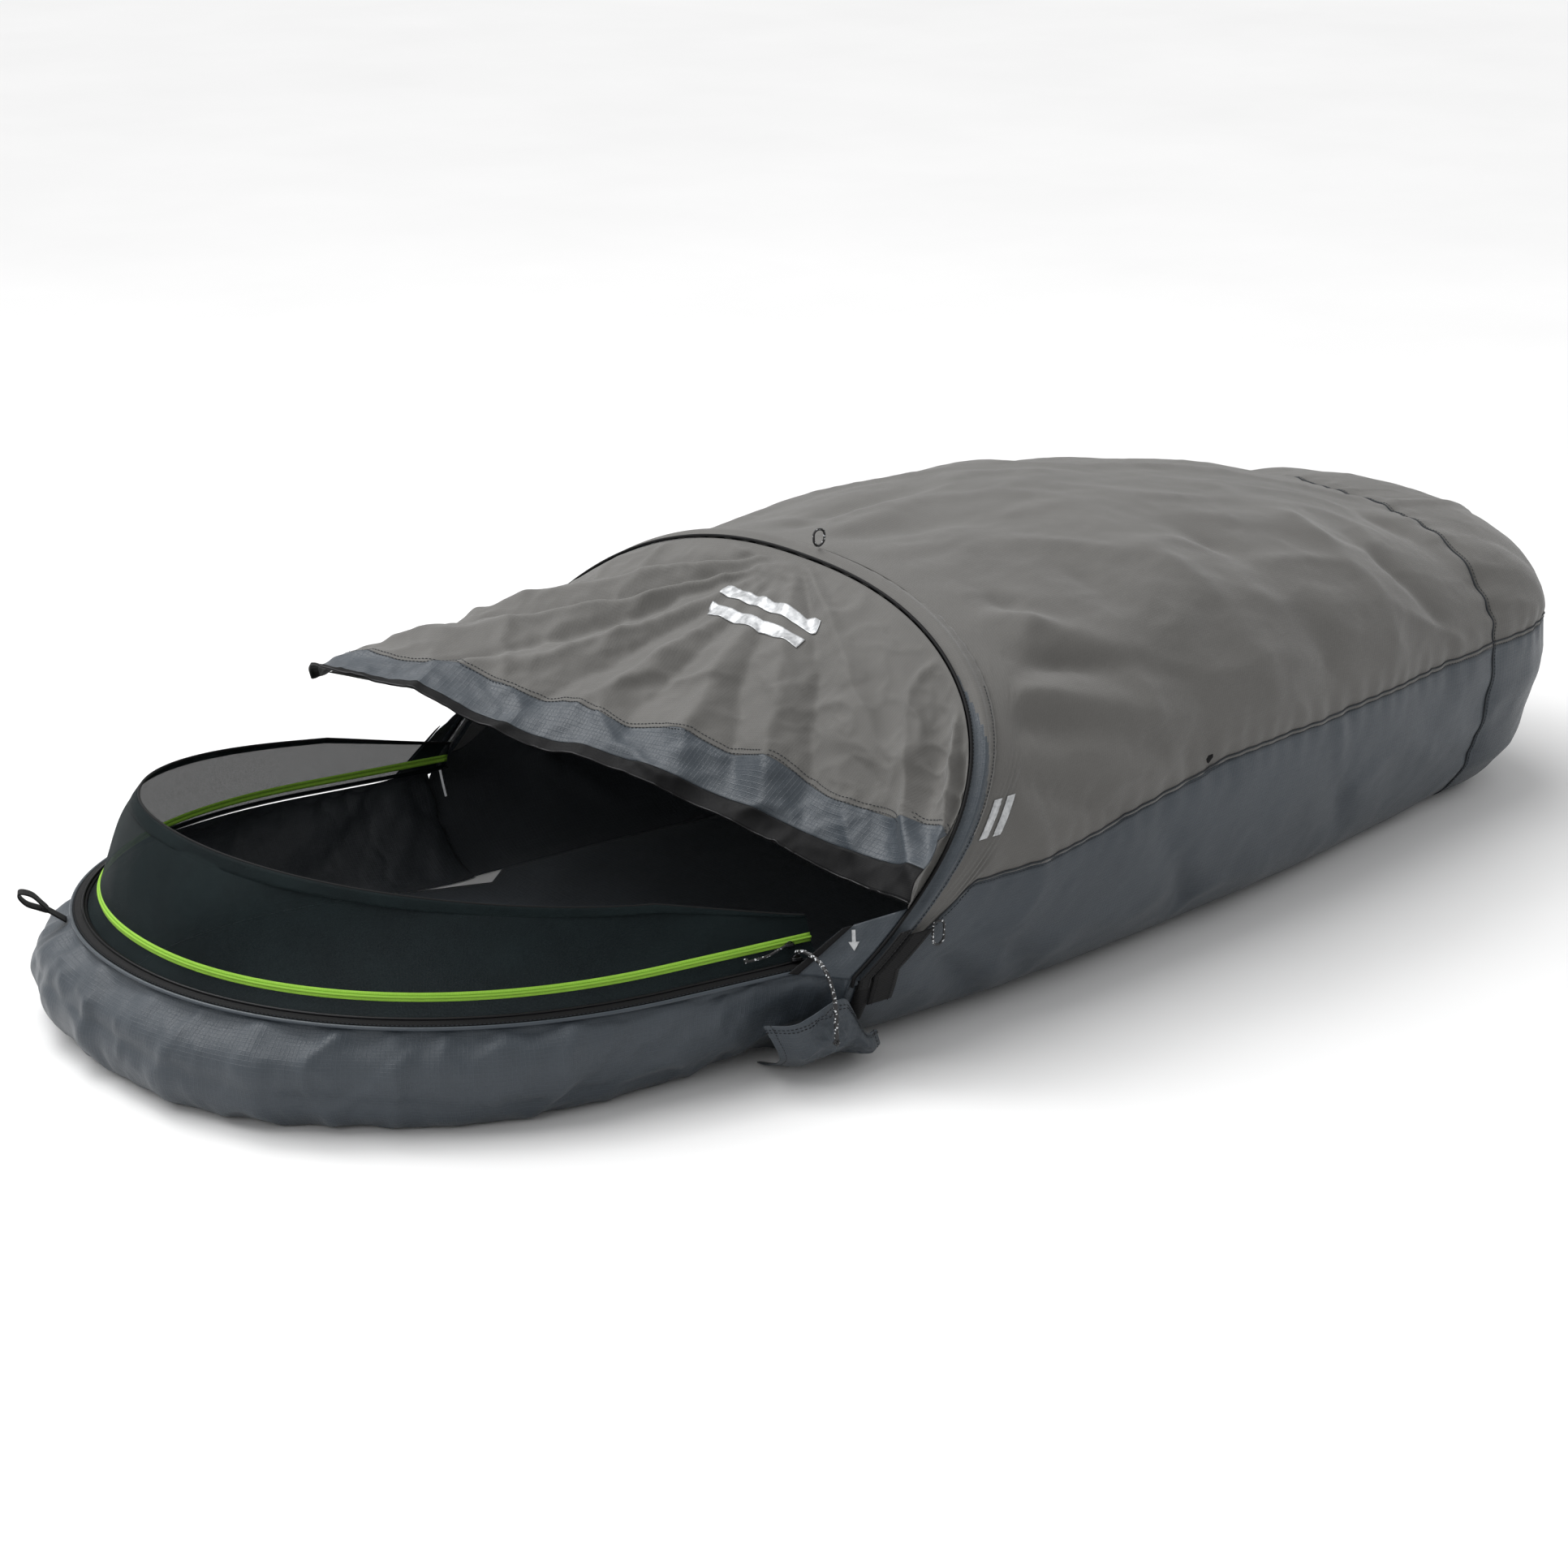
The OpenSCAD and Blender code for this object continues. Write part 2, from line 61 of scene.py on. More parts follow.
def add_camera():
    level = math.cos(VIEW_EL)
    back = Vector((math.sin(VIEW_AZ) * level, -math.cos(VIEW_AZ) * level, math.sin(VIEW_EL)))
    data = bpy.data.cameras.new("camera")
    data.lens = LENS
    camera = bpy.data.objects.new("camera", data)
    camera.location = VIEW_TARGET + back * VIEW_DIST
    camera.rotation_euler = (-back).to_track_quat("-Z", "Y").to_euler()
    bpy.context.scene.collection.objects.link(camera)
    bpy.context.scene.camera = camera


add_camera()

# ---------- sizes of the filled sack, in metres ----------

ARCH_H = 0.437            # height at the pole arch
ARCH_HALF_W = 0.438       # half width at the arch
SEAM_HEAD_Z = 0.190       # seam between the grey top and the slate side, at the arch
SEAM_FOOT_Z = 0.236       # the same towards the foot
FOOT_X = 0.800            # where the foot panels start
FOOT_TIP_X = 1.030
FOOT_HALF_W = 0.294
FOOT_H = 0.376
HEAD_X = -0.530           # where the straight zip sides turn into the rounded end
HEAD_LEN = 0.436
HEAD_HALF_W = 0.390
ZIP_Z = 0.120             # height of the door zip
WALL_BULGE = 0.066
HEAD_SKEW = 0.12
NET_INSET = 0.024
NET_Z = 0.144
NET_H_HEAD = 0.116
CORD_D = 0.003
ARCH_TOP_X = -0.075
ARCH_LEAN = 0.55
ARCH_CURL = 0.9
ARCH_FOOT_X = -0.345
SWELL = 0.056
FLOOR_IN = 0.118
FOOT_IN = 0.084
K_TOP = 2 / 2.3
MOUTH_X = -0.346
NET_END_X = -0.356
STRAIGHT = 0.16           # share of the zip line that runs straight on each side
HOOD_EDGE = np.array([
    (-0.292, -0.456, 0.196), (-0.284, -0.370, 0.186), (-0.298, -0.285, 0.194), (-0.334, -0.191, 0.222),
    (-0.378, -0.095, 0.249), (-0.421, 0.003, 0.266), (-0.466, 0.102, 0.281), (-0.520, 0.224, 0.312),
    (-0.560, 0.318, 0.316), (-0.545, 0.362, 0.288)])
HOOD_V0, HOOD_V1 = 0.085, 0.97
HEM_W = 0.050
SHELL_T = 0.0009           # thickness of the shell cloth
PRINT_T = 0.0003

# ---------- shape of the filled sack ----------


def mix(a, b, t):
    return a + (b - a) * t


def ease(t):
    c = np.clip(t, 0, 1)
    return c * c * (3 - 2 * c)


def arc(t):
    """Rises from 0 to 1 and falls back to 0 as t goes from 0 to 1."""
    return np.sin(PI * np.clip(t, 0, 1))


def sgn_pow(v, k):
    return np.sign(v) * np.abs(v) ** k


def stack(x, y, z):
    return np.stack(np.broadcast_arrays(x, y, z), -1).astype(float)


def unit(v):
    return v / np.maximum(np.linalg.norm(v, axis=-1, keepdims=True), 1e-12)


def body_half_w(x):
    return ARCH_HALF_W - (ARCH_HALF_W - FOOT_HALF_W) * np.maximum(0, (x + 0.2) / (FOOT_X + 0.2)) ** 1.8


def body_h(x):
    t = np.clip((x - ARCH_TOP_X) / (FOOT_X - ARCH_TOP_X), 0, 1)
    return mix(ARCH_H, FOOT_H, t) + SWELL * np.sin(PI * t)


def seam_at(x):
    return mix(SEAM_HEAD_Z, SEAM_FOOT_Z, ease((x + 0.15) / 0.45))


def arch_at(z):
    d = ARCH_H - z
    return np.maximum(ARCH_FOOT_X, ARCH_TOP_X - ARCH_LEAN * d - ARCH_CURL * d * d)


def top_yz(w, h, v, zc):
    """Cross-section above the seam: v from 0 on the near side to 1 on the far side."""
    return -w * sgn_pow(np.cos(PI * v), K_TOP), zc + (h - zc) * np.abs(np.sin(PI * v)) ** K_TOP


def side_yz(w, v, zc):
    """Half of the cross-section below the seam: v from 0 at the floor to 1 at the seam."""
    return w - FLOOR_IN * (1 - np.sin(PI / 2 * v)), zc * (1 - np.cos(PI / 2 * v))


def arch_point(v, ahead=0.0):
    """Arch line: v from 0 to 1 over the top, and past each end down the sides."""
    v = np.asarray(v, float)
    over_y, over_z = top_yz(ARCH_HALF_W, ARCH_H, np.clip(v, 0, 1), SEAM_HEAD_Z)
    low_y, low_z = side_yz(ARCH_HALF_W, np.clip(1 - np.maximum(-v, v - 1), 0, 1), SEAM_HEAD_Z)
    below = (v < 0) | (v > 1)
    y = np.where(below, np.sign(v - 0.5) * low_y, over_y)
    z = np.where(below, low_z, over_z)
    return stack(arch_at(z) + ahead, y, z)


def arch_out(v):
    """Direction out of the sack at the arch."""
    p = arch_point(v)
    return unit(p - stack(p[..., 0], 0.0, SEAM_HEAD_Z * 0.8))


def arch_offset(v, ahead, out):
    return arch_point(v, ahead) + np.asarray(out)[..., None] * arch_out(v)


def top_point(u, v, lead):
    arch_z = top_yz(ARCH_HALF_W, ARCH_H, v, SEAM_HEAD_Z)[1]
    x = mix(arch_at(arch_z) + lead, FOOT_X, u)
    y, z = top_yz(body_half_w(x), body_h(x), v, seam_at(x))
    return stack(x, y, z)


def side_point(u, v, side, lead):
    x = mix(arch_at(side_yz(ARCH_HALF_W, v, SEAM_HEAD_Z)[1]) + lead, FOOT_X, u)
    y, z = side_yz(body_half_w(x), v, seam_at(x))
    return stack(x, side * y, z)


def foot_plan(a, w, reach):
    return reach * np.abs(np.cos(a)) ** 0.8, w * sgn_pow(np.sin(a), 0.8)


def foot_low_point(a, v):
    y, z = side_yz(FOOT_HALF_W, v, SEAM_FOOT_Z)
    qx, qy = foot_plan(a, y, FOOT_TIP_X - FOOT_X - FOOT_IN * (1 - np.sin(PI / 2 * v)))
    return stack(FOOT_X + qx, qy, z)


def foot_top_point(a, e):
    shrink = np.abs(np.cos(e)) ** K_TOP
    qx, qy = foot_plan(a, FOOT_HALF_W * shrink, (FOOT_TIP_X - FOOT_X) * shrink)
    return stack(FOOT_X + qx, qy, SEAM_FOOT_Z + (FOOT_H - SEAM_FOOT_Z) * np.sin(e) ** K_TOP)


def head_line(s, off, x_end=MOUTH_X):
    """U line around the head, s from 0 near rear to 1 far rear, pushed out by off: x and y."""
    s, off = np.broadcast_arrays(np.asarray(s, float), off)
    w = HEAD_HALF_W + off
    a = -PI / 2 + PI * np.clip((s - STRAIGHT) / (1 - 2 * STRAIGHT), 0, 1)
    x = HEAD_X - (HEAD_LEN + off) * np.abs(np.cos(a)) ** 0.9
    x = np.where(s <= STRAIGHT, mix(x_end, HEAD_X, s / STRAIGHT), x)
    x = np.where(s >= 1 - STRAIGHT, mix(HEAD_X, x_end, (s - 1 + STRAIGHT) / STRAIGHT), x)
    y = w * sgn_pow(np.sin(a), 0.95)
    return x, y + HEAD_SKEW * (MOUTH_X - x)


def head_band(s, off, z, x_end=MOUTH_X):
    x, y = head_line(s, off, x_end)
    return stack(x, y, z)


def wall_off(s, a):
    return mix(0.024, WALL_BULGE, arc(s) ** 1.5) * np.sin(a) - mix(0.1, 0.02, arc(s)) * (1 + np.cos(a)) / 2


def wall_point(s, t):
    """Head wall: t from 0 at the floor to 1 at the zip."""
    a = PI * t
    z = (ZIP_Z - 0.001) * (1 - np.cos(a)) / 2
    p = head_band(s, wall_off(s, a), z)
    low = 2 / PI * np.arccos(np.clip(1 - z / SEAM_HEAD_Z, -1, 1)) - 1
    arch = arch_point(np.broadcast_to(low, p.shape[:-1]), -0.006)
    joined = 0.085
    for arch_end, near_end in ((arch, s), (arch * (1, -1, 1), 1 - s)):
        pull = (1 - ease(near_end / joined)) * np.ones(p.shape[:-1])
        p = mix(p, arch_end, pull[..., None])
    return p


def net_point(s, f):
    """Net wall: f from 0 at its zip to 1 at its top edge."""
    height = 0.022 + (NET_H_HEAD - 0.022) * arc(s) ** 1.1
    off = -0.001 - NET_INSET + 0.009 * arc(f) * arc(s) - mix(0.008, 0.048, arc(s)) * f
    return head_band(s, off, NET_Z + 0.0046 + (height - 0.0046) * f, NET_END_X)


def through(points, t):
    """Smooth curve through a list of points: t from 0 to 1."""
    n = len(points) - 1
    t = np.asarray(t, float)
    k = np.minimum(n - 1, np.floor(t * n)).astype(int)
    f = (t * n - k)[..., None]
    a, b = points[np.maximum(0, k - 1)], points[k]
    c, d = points[k + 1], points[np.minimum(n, k + 2)]
    return (0.5 * (2 * b + (c - a) * f + (2 * a - 5 * b + 4 * c - d) * f ** 2
                   + (3 * b - a - 3 * c + d) * f ** 3))


def hood_rear(v):
    return arch_point(mix(HOOD_V0, HOOD_V1, v), -0.005)


def hood_point(u, v):
    u, v = np.broadcast_arrays(np.asarray(u, float), v)
    p = mix(hood_rear(v), through(HOOD_EDGE, v), u[..., None])
    p[..., 2] += 0.016 * arc(u) * arc(v)
    return p


def hood_len(v):
    return np.linalg.norm(through(HOOD_EDGE, v) - hood_rear(v), axis=-1)


def tape_w(v):
    return 0.012 + 0.030 * (1 - v) ** 3


def tape_u(v):
    return 1 - tape_w(v) / hood_len(v)


def hem_u(v):
    """Seam between the grey flap and its slate hem; it waves a little, as sewn cloth does."""
    wave = 0.004 * np.sin(2 * PI * 3.3 * v + 0.6) + 0.003 * np.sin(2 * PI * 7.1 * v)
    return 1 - (tape_w(v) + HEM_W + wave) / hood_len(v)


# ---------- mesh tools ----------


def line(n):
    """n + 1 values from 0 to 1, as a row."""
    return np.linspace(0, 1, n + 1)


def rows_of(n):
    return line(n)[:, None]


def grid_faces(rows, cols, start=0):
    i, j = np.meshgrid(np.arange(rows - 1), np.arange(cols - 1), indexing="ij")
    a = (start + i * cols + j).ravel()
    return np.stack([a, a + 1, a + cols + 1, a + cols], 1)


def grid_normals(p):
    down = np.gradient(p, axis=0)
    along = np.gradient(p, axis=1)
    return unit(np.cross(down, along))


def grid_uv(p):
    """Distance in metres along the rows and columns of a grid, so that a weave keeps its real size."""
    mid_row, mid_col = p[len(p) // 2], p[:, p.shape[1] // 2]
    across = np.concatenate([[0], np.cumsum(np.linalg.norm(np.diff(mid_row, axis=0), axis=1))])
    down = np.concatenate([[0], np.cumsum(np.linalg.norm(np.diff(mid_col, axis=0), axis=1))])
    return np.stack(np.broadcast_arrays(across[None, :], down[:, None]), -1)


def new_object(name, verts, faces, uv=None, smooth=True, ids=None):
    mesh = bpy.data.meshes.new(name)
    mesh.from_pydata([tuple(v) for v in verts], [], [tuple(int(i) for i in f) for f in faces])
    if uv is not None:
        layer = mesh.uv_layers.new(name="cloth")
        loops = np.zeros(len(mesh.loops), int)
        mesh.loops.foreach_get("vertex_index", loops)
        layer.data.foreach_set("uv", uv[loops].astype(np.float32).ravel())
    if ids is not None:
        mesh.polygons.foreach_set("material_index", np.asarray(ids, np.int32))
    mesh.polygons.foreach_set("use_smooth", np.full(len(mesh.polygons), smooth))
    mesh.update()
    return linked(name, mesh)


def linked(name, data):
    """A new object in the scene."""
    obj = bpy.data.objects.new(name, data)
    bpy.context.scene.collection.objects.link(obj)
    return obj


def coords(obj):
    co = np.zeros(len(obj.data.vertices) * 3, np.float32)
    obj.data.vertices.foreach_get("co", co)
    return co.reshape(-1, 3).astype(float)


def set_coords(obj, co):
    obj.data.vertices.foreach_set("co", co.astype(np.float32).ravel())
    obj.data.update()


def apply_modifiers(obj):
    """Replaces the mesh by what its modifiers make of it."""
    deps = bpy.context.evaluated_depsgraph_get()
    made = bpy.data.meshes.new_from_object(obj.evaluated_get(deps), preserve_all_data_layers=True,
                                           depsgraph=deps)
    obj.modifiers.clear()
    obj.data = made


def thicken(obj, thickness, offset=-1.0, inside=None):
    """Gives a sheet its thickness; inside is the material of its back."""
    mod = obj.modifiers.new("thickness", "SOLIDIFY")
    mod.thickness = thickness
    mod.offset = offset
    mod.use_even_offset = False
    if inside is not None:
        obj.data.materials.append(inside)
        mod.material_offset = 1
    apply_modifiers(obj)


def subdivide(obj):
    """One level of subdivision, applied to the mesh."""
    smooth = obj.modifiers.new("smooth", "SUBSURF")
    smooth.levels = smooth.render_levels = 1
    apply_modifiers(obj)


def cut_out(whole, number, name, material, inside, thickness):
    """The faces of one panel, or one band, of a cloth as an object of its own."""
    mesh = whole.data.copy()
    bm = bmesh.new()
    bm.from_mesh(mesh)
    bmesh.ops.delete(bm, geom=[f for f in bm.faces if f.material_index != number], context="FACES")
    for f in bm.faces:
        f.material_index = 0
    bm.to_mesh(mesh)
    bm.free()
    obj = linked(name, mesh)
    mesh.materials.clear()
    mesh.materials.append(material)
    thicken(obj, thickness, -1.0, inside)
    return obj


def finish_piece(obj, body, material, nodes=()):
    if not obj.data.materials:
        obj.data.materials.append(material)
    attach(obj, body)
    if nodes:
        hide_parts(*nodes)
    return obj


def cloth_grid(name, p, thickness, material, offset=-1.0, inside=None, uv=None):
    """Sheet of cloth over a grid of points; its front is on the side that the grid's normals give."""
    rows, cols = p.shape[:2]
    uv = grid_uv(p) if uv is None else uv
    obj = new_object(name, p.reshape(-1, 3), grid_faces(rows, cols), uv.reshape(-1, 2))
    obj.data.materials.append(material)
    if thickness:
        thicken(obj, thickness, offset, inside)
    return obj


def flat_size(p):
    """Width and length of the cloth cut for a grid of points: its length, and its area over its length."""
    across = np.linalg.norm(np.diff(p, axis=1), axis=2).sum(1).mean()
    down = np.linalg.norm(np.diff(p, axis=0), axis=2).sum(0).mean()
    area = np.linalg.norm(np.cross(p[1:, 1:] - p[:-1, :-1], p[1:, :-1] - p[:-1, 1:]), axis=2).sum() / 2
    length = max(across, down)
    return round(float(area / length), 3), round(float(length), 3)


def tube_parts(path, radius, sides=8):
    """Vertices and faces of a round tube along a path; radius may differ at each point."""
    path = np.asarray(path, float)
    n = len(path)
    radius = np.broadcast_to(np.asarray(radius, float), (n,))
    t = unit(np.gradient(path, axis=0))
    a = np.zeros_like(path)
    a[0] = unit(np.cross(t[0], (0.0, 0.0, 1.0) if abs(t[0][2]) < 0.8 else (1.0, 0.0, 0.0)))
    for i in range(1, n):
        a[i] = unit(a[i - 1] - (a[i - 1] @ t[i]) * t[i])
    b = np.cross(t, a)
    k = np.arange(sides) * 2 * PI / sides
    ring = np.cos(k)[None, :, None] * a[:, None] + np.sin(k)[None, :, None] * b[:, None]
    verts = (path[:, None] + radius[:, None, None] * ring).reshape(-1, 3)
    i, j = np.meshgrid(np.arange(n - 1), np.arange(sides), indexing="ij")
    q = i * sides + j
    r = i * sides + (j + 1) % sides
    faces = np.stack([q, r, r + sides, q + sides], -1).reshape(-1, 4).tolist()
    faces.append(list(range(sides - 1, -1, -1)))
    faces.append([(n - 1) * sides + m for m in range(sides)])
    return verts, faces


def tube(name, path, radius, material, sides=8):
    verts, faces = tube_parts(path, radius, sides)
    obj = new_object(name, verts, faces)
    obj.data.materials.append(material)
    return obj


def resample(path, step):
    """The same path with points a step apart."""
    path = np.asarray(path, float)
    along = np.concatenate([[0], np.cumsum(np.linalg.norm(np.diff(path, axis=0), axis=1))])
    n = max(2, int(round(along[-1] / step)) + 1)
    at = np.linspace(0, along[-1], n)
    return np.stack([np.interp(at, along, path[:, k]) for k in range(3)], 1)


def stitches(name, path, out, material, stitch=0.0032, space=0.0048, width=0.0007):
    """A row of thread stitches along a path, each a small raised bar; out is the way out of the cloth."""
    points = resample(path, space)
    out = np.asarray(out, float)
    if out.ndim > 1:
        pick = np.linspace(0, len(out) - 1, len(points)).round().astype(int)
        out = out[pick]
    else:
        out = np.broadcast_to(out, points.shape)
    t = unit(np.gradient(points, axis=0))
    side = unit(np.cross(t, out))
    up = np.cross(side, t)
    corners = [(-1, -1, 0), (-1, 1, 0), (1, 1, 0), (1, -1, 0), (-0.6, -0.6, 1), (-0.6, 0.6, 1),
               (0.6, 0.6, 1), (0.6, -0.6, 1)]
    box = [[4, 5, 6, 7], [3, 2, 1, 0], [0, 1, 5, 4], [1, 2, 6, 5], [2, 3, 7, 6], [3, 0, 4, 7]]
    verts = np.stack([points + t * (a * stitch / 2) + side * (b * width / 2) + up * (c * width) for a, b,
                      c in corners], 1)
    faces = [[8 * i + k for k in f] for i in range(len(points)) for f in box]
    obj = new_object(name, verts.reshape(-1, 3), faces, smooth=False)
    obj.data.materials.append(material)
    return obj


def noise_of(points, scale, seed=0.0, octaves=3):
    """Smooth noise from about -1 to 1 at each point; scale is the size of its waves in metres."""
    shift = Vector((seed, 1.7 * seed, -seed))
    flat = points.reshape(-1, 3)
    values = [noise.fractal(Vector(p) / scale + shift, 0.8, 2.0, octaves) for p in flat]
    return np.array(values).reshape(points.shape[:-1])


def creases_of(points, scale, seed=0.0):
    """Network of sharp ridges as in crumpled nylon, from 0 on flat cloth to 1 on a ridge."""
    return np.clip(1 - 3.2 * np.abs(noise_of(points, scale, seed, 2)), 0, 1) ** 1.5


# ---------- materials ----------


def node_material(name, rough, specular=0.5, metallic=0.0, sheen=0.0):
    mat = bpy.data.materials.new(name)
    mat.use_nodes = True
    shader = mat.node_tree.nodes["Principled BSDF"]
    shader.inputs["Roughness"].default_value = rough
    shader.inputs["Specular IOR Level"].default_value = specular
    shader.inputs["Metallic"].default_value = metallic
    shader.inputs["Sheen Weight"].default_value = sheen
    shader.inputs["Sheen Roughness"].default_value = 0.4
    return mat, mat.node_tree.nodes, mat.node_tree.links, shader


def cloth_vector(nodes, in_uv):
    """Texture place: metres on the cloth where the mesh has them, else metres in space."""
    if in_uv:
        place = nodes.new("ShaderNodeUVMap")
        place.uv_map = "cloth"
        return place.outputs["UV"]
    return nodes.new("ShaderNodeTexCoord").outputs["Object"]


def scaled(nodes, links, vector, scale):
    mapping = nodes.new("ShaderNodeMapping")
    mapping.inputs["Scale"].default_value = scale
    links.new(vector, mapping.inputs["Vector"])
    return mapping.outputs["Vector"]


def wave(nodes, links, vector, direction, pitch):
    """Ridges a pitch apart along one direction, from 0 to 1."""
    tex = nodes.new("ShaderNodeTexWave")
    tex.bands_direction = direction
    tex.inputs["Scale"].default_value = 1 / (pitch * 3.1416)
    links.new(vector, tex.inputs["Vector"])
    return tex.outputs["Fac"]


def math_node(nodes, links, operation, a, b):
    node = nodes.new("ShaderNodeMath")
    node.operation = operation
    for socket, value in zip(node.inputs, (a, b)):
        if isinstance(value, (int, float)):
            socket.default_value = value
        else:
            links.new(value, socket)
    return node.outputs[0]


def crossed(nodes, links, operation, place, pitch_x, pitch_y):
    """Ridges both ways over the cloth, joined by one operation."""
    first = wave(nodes, links, place, "X", pitch_x)
    return math_node(nodes, links, operation, first, wave(nodes, links, place, "Y", pitch_y))


def ramp(nodes, links, factor, stops):
    node = nodes.new("ShaderNodeValToRGB")
    elements = node.color_ramp.elements
    while len(elements) < len(stops):
        elements.new(0.5)
    for element, (place, value) in zip(elements, stops):
        element.position = place
        element.color = value if len(value) == 4 else (*value, 1)
    links.new(factor, node.inputs["Fac"])
    return node.outputs["Color"]


def noise_node(nodes, links, vector, scale, detail=4.0, rough=0.55):
    tex = nodes.new("ShaderNodeTexNoise")
    tex.inputs["Scale"].default_value = scale
    tex.inputs["Detail"].default_value = detail
    tex.inputs["Roughness"].default_value = rough
    links.new(vector, tex.inputs["Vector"])
    return tex.outputs["Fac"]


def colour_by(nodes, links, shader, factor, stops):
    """Colours the surface by a ramp over a factor."""
    links.new(ramp(nodes, links, factor, stops), shader.inputs["Base Color"])


def bump(nodes, links, height, distance, strength, shader, below=None):
    node = nodes.new("ShaderNodeBump")
    node.inputs["Distance"].default_value = distance
    node.inputs["Strength"].default_value = strength
    links.new(height, node.inputs["Height"])
    if below is not None:
        links.new(below, node.inputs["Normal"])
    links.new(node.outputs["Normal"], shader.inputs["Normal"])
    return node.outputs["Normal"]


def shade(colour, k):
    return tuple(min(1, c * k) for c in colour)


def cloth_material(name, colour, rough, pitch, ripstop=None, specular=0.35, sheen=0.1, crinkle=0.35,
                   in_uv=True, variation=0.08, grid_light=1.16):
    """Woven cloth: threads a pitch apart, a ripstop grid of raised threads, fine crinkles, uneven colour."""
    mat, nodes, links, shader = node_material(name, rough, specular, 0.0, sheen)
    place = cloth_vector(nodes, in_uv)
    threads = crossed(nodes, links, "MULTIPLY", place, pitch, pitch)
    cloudy = noise_node(nodes, links, place, 5.0)
    base = ramp(nodes, links, cloudy,
                [(0.3, shade(colour, 1 - variation)), (0.7, shade(colour, 1 + variation))])
    if ripstop:
        bars = crossed(nodes, links, "MAXIMUM", place, ripstop, ripstop)
        raised = math_node(nodes, links, "POWER", bars, 30.0)
        blend = nodes.new("ShaderNodeMix")
        blend.data_type = "RGBA"
        blend.blend_type = "MULTIPLY"
        links.new(raised, blend.inputs["Factor"])
        links.new(base, blend.inputs["A"])
        blend.inputs["B"].default_value = (grid_light, grid_light, grid_light, 1)
        base = blend.outputs["Result"]
        threads = math_node(nodes, links, "ADD", threads, math_node(nodes, links, "MULTIPLY", raised, 1.5))
    links.new(base, shader.inputs["Base Color"])
    grain = noise_node(nodes, links, place, 300.0, 2.0)
    wear = ramp(nodes, links, grain, [(0.25, shade((rough,) * 3, 0.92)), (0.75, shade((rough,) * 3, 1.08))])
    links.new(wear, shader.inputs["Roughness"])
    space = nodes.new("ShaderNodeTexCoord").outputs["Object"]
    creases = noise_node(nodes, links, scaled(nodes, links, space, (22, 22, 22)), 1.0, 5.0, 0.6)
    under = bump(nodes, links, creases, 0.006, crinkle, shader)
    bump(nodes, links, threads, 0.0003, 0.5, shader, under)
    return mat


def webbing_material(name, colour, pitch, rough=0.6):
    mat, nodes, links, shader = node_material(name, rough, 0.16, 0.0, 0.02)
    place = cloth_vector(nodes, True)
    weave = crossed(nodes, links, "MULTIPLY", place, pitch, pitch * 1.6)
    cloudy = noise_node(nodes, links, place, 60.0)
    both = math_node(nodes, links, "MULTIPLY", weave, cloudy)
    colour_by(nodes, links, shader, both, [(0.0, shade(colour, 0.75)), (0.6, shade(colour, 1.35))])
    bump(nodes, links, weave, 0.0004, 0.7, shader)
    return mat


def net_material():
    """Fine netting: hexagon-like holes under a millimetre wide, see-through between the threads."""
    mat, nodes, links, shader = node_material("insect_net", 0.7, 0.08)
    place = cloth_vector(nodes, True)
    holes = nodes.new("ShaderNodeTexVoronoi")
    holes.feature = "DISTANCE_TO_EDGE"
    holes.inputs["Scale"].default_value = 900.0
    holes.inputs["Randomness"].default_value = 0.35
    links.new(place, holes.inputs["Vector"])
    alpha = ramp(nodes, links, holes.outputs["Distance"], [(0.10, (1, 1, 1)), (0.42, (0.60, 0.60, 0.60))])
    links.new(alpha, shader.inputs["Alpha"])
    cloudy = noise_node(nodes, links, place, 8.0)
    colour_by(nodes, links, shader, cloudy, [(0.3, (0.004, 0.007, 0.008)), (0.7, (0.008, 0.014, 0.015))])
    bump(nodes, links, holes.outputs["Distance"], 0.0003, 0.4, shader)
    return mat


def cord_material():
    """Black braided cord with silver reflective flecks."""
    mat, nodes, links, shader = node_material("flecked_cord", 0.5, 0.5)
    place = nodes.new("ShaderNodeTexCoord").outputs["Object"]
    cells = nodes.new("ShaderNodeTexVoronoi")
    cells.inputs["Scale"].default_value = 650.0
    links.new(place, cells.inputs["Vector"])
    pick = nodes.new("ShaderNodeSeparateColor")
    links.new(cells.outputs["Color"], pick.inputs["Color"])
    fleck = math_node(nodes, links, "GREATER_THAN", pick.outputs["Red"], 0.88)
    colour_by(nodes, links, shader, fleck, [(0.0, (0.012, 0.012, 0.013)), (1.0, (0.62, 0.64, 0.66))])
    bump(nodes, links, cells.outputs["Distance"], 0.0006, 0.6, shader)
    return mat


def print_material():
    """Silver reflective print, a little cracked."""
    mat, nodes, links, shader = node_material("reflective_print", 0.38, 0.5, 0.35)
    place = nodes.new("ShaderNodeTexCoord").outputs["Object"]
    cloudy = noise_node(nodes, links, place, 180.0, 6.0)
    colour_by(nodes, links, shader, cloudy, [(0.35, (0.34, 0.35, 0.36)), (0.6, (0.52, 0.53, 0.54))])
    bump(nodes, links, cloudy, 0.0004, 0.3, shader)
    return mat


def metal_material(name, colour, rough):
    mat, nodes, links, shader = node_material(name, rough, 0.5, 0.85)
    place = nodes.new("ShaderNodeTexCoord").outputs["Object"]
    brushed = noise_node(nodes, links, scaled(nodes, links, place, (900, 60, 900)), 1.0)
    colour_by(nodes, links, shader, brushed, [(0.3, shade(colour, 0.85)), (0.7, shade(colour, 1.1))])
    bump(nodes, links, brushed, 0.0002, 0.2, shader)
    return mat


SLATE = (0.036, 0.046, 0.057)
GREY = (0.110, 0.107, 0.101)
BLACK = (0.006, 0.006, 0.0065)
LIME = (0.34, 0.64, 0.07)

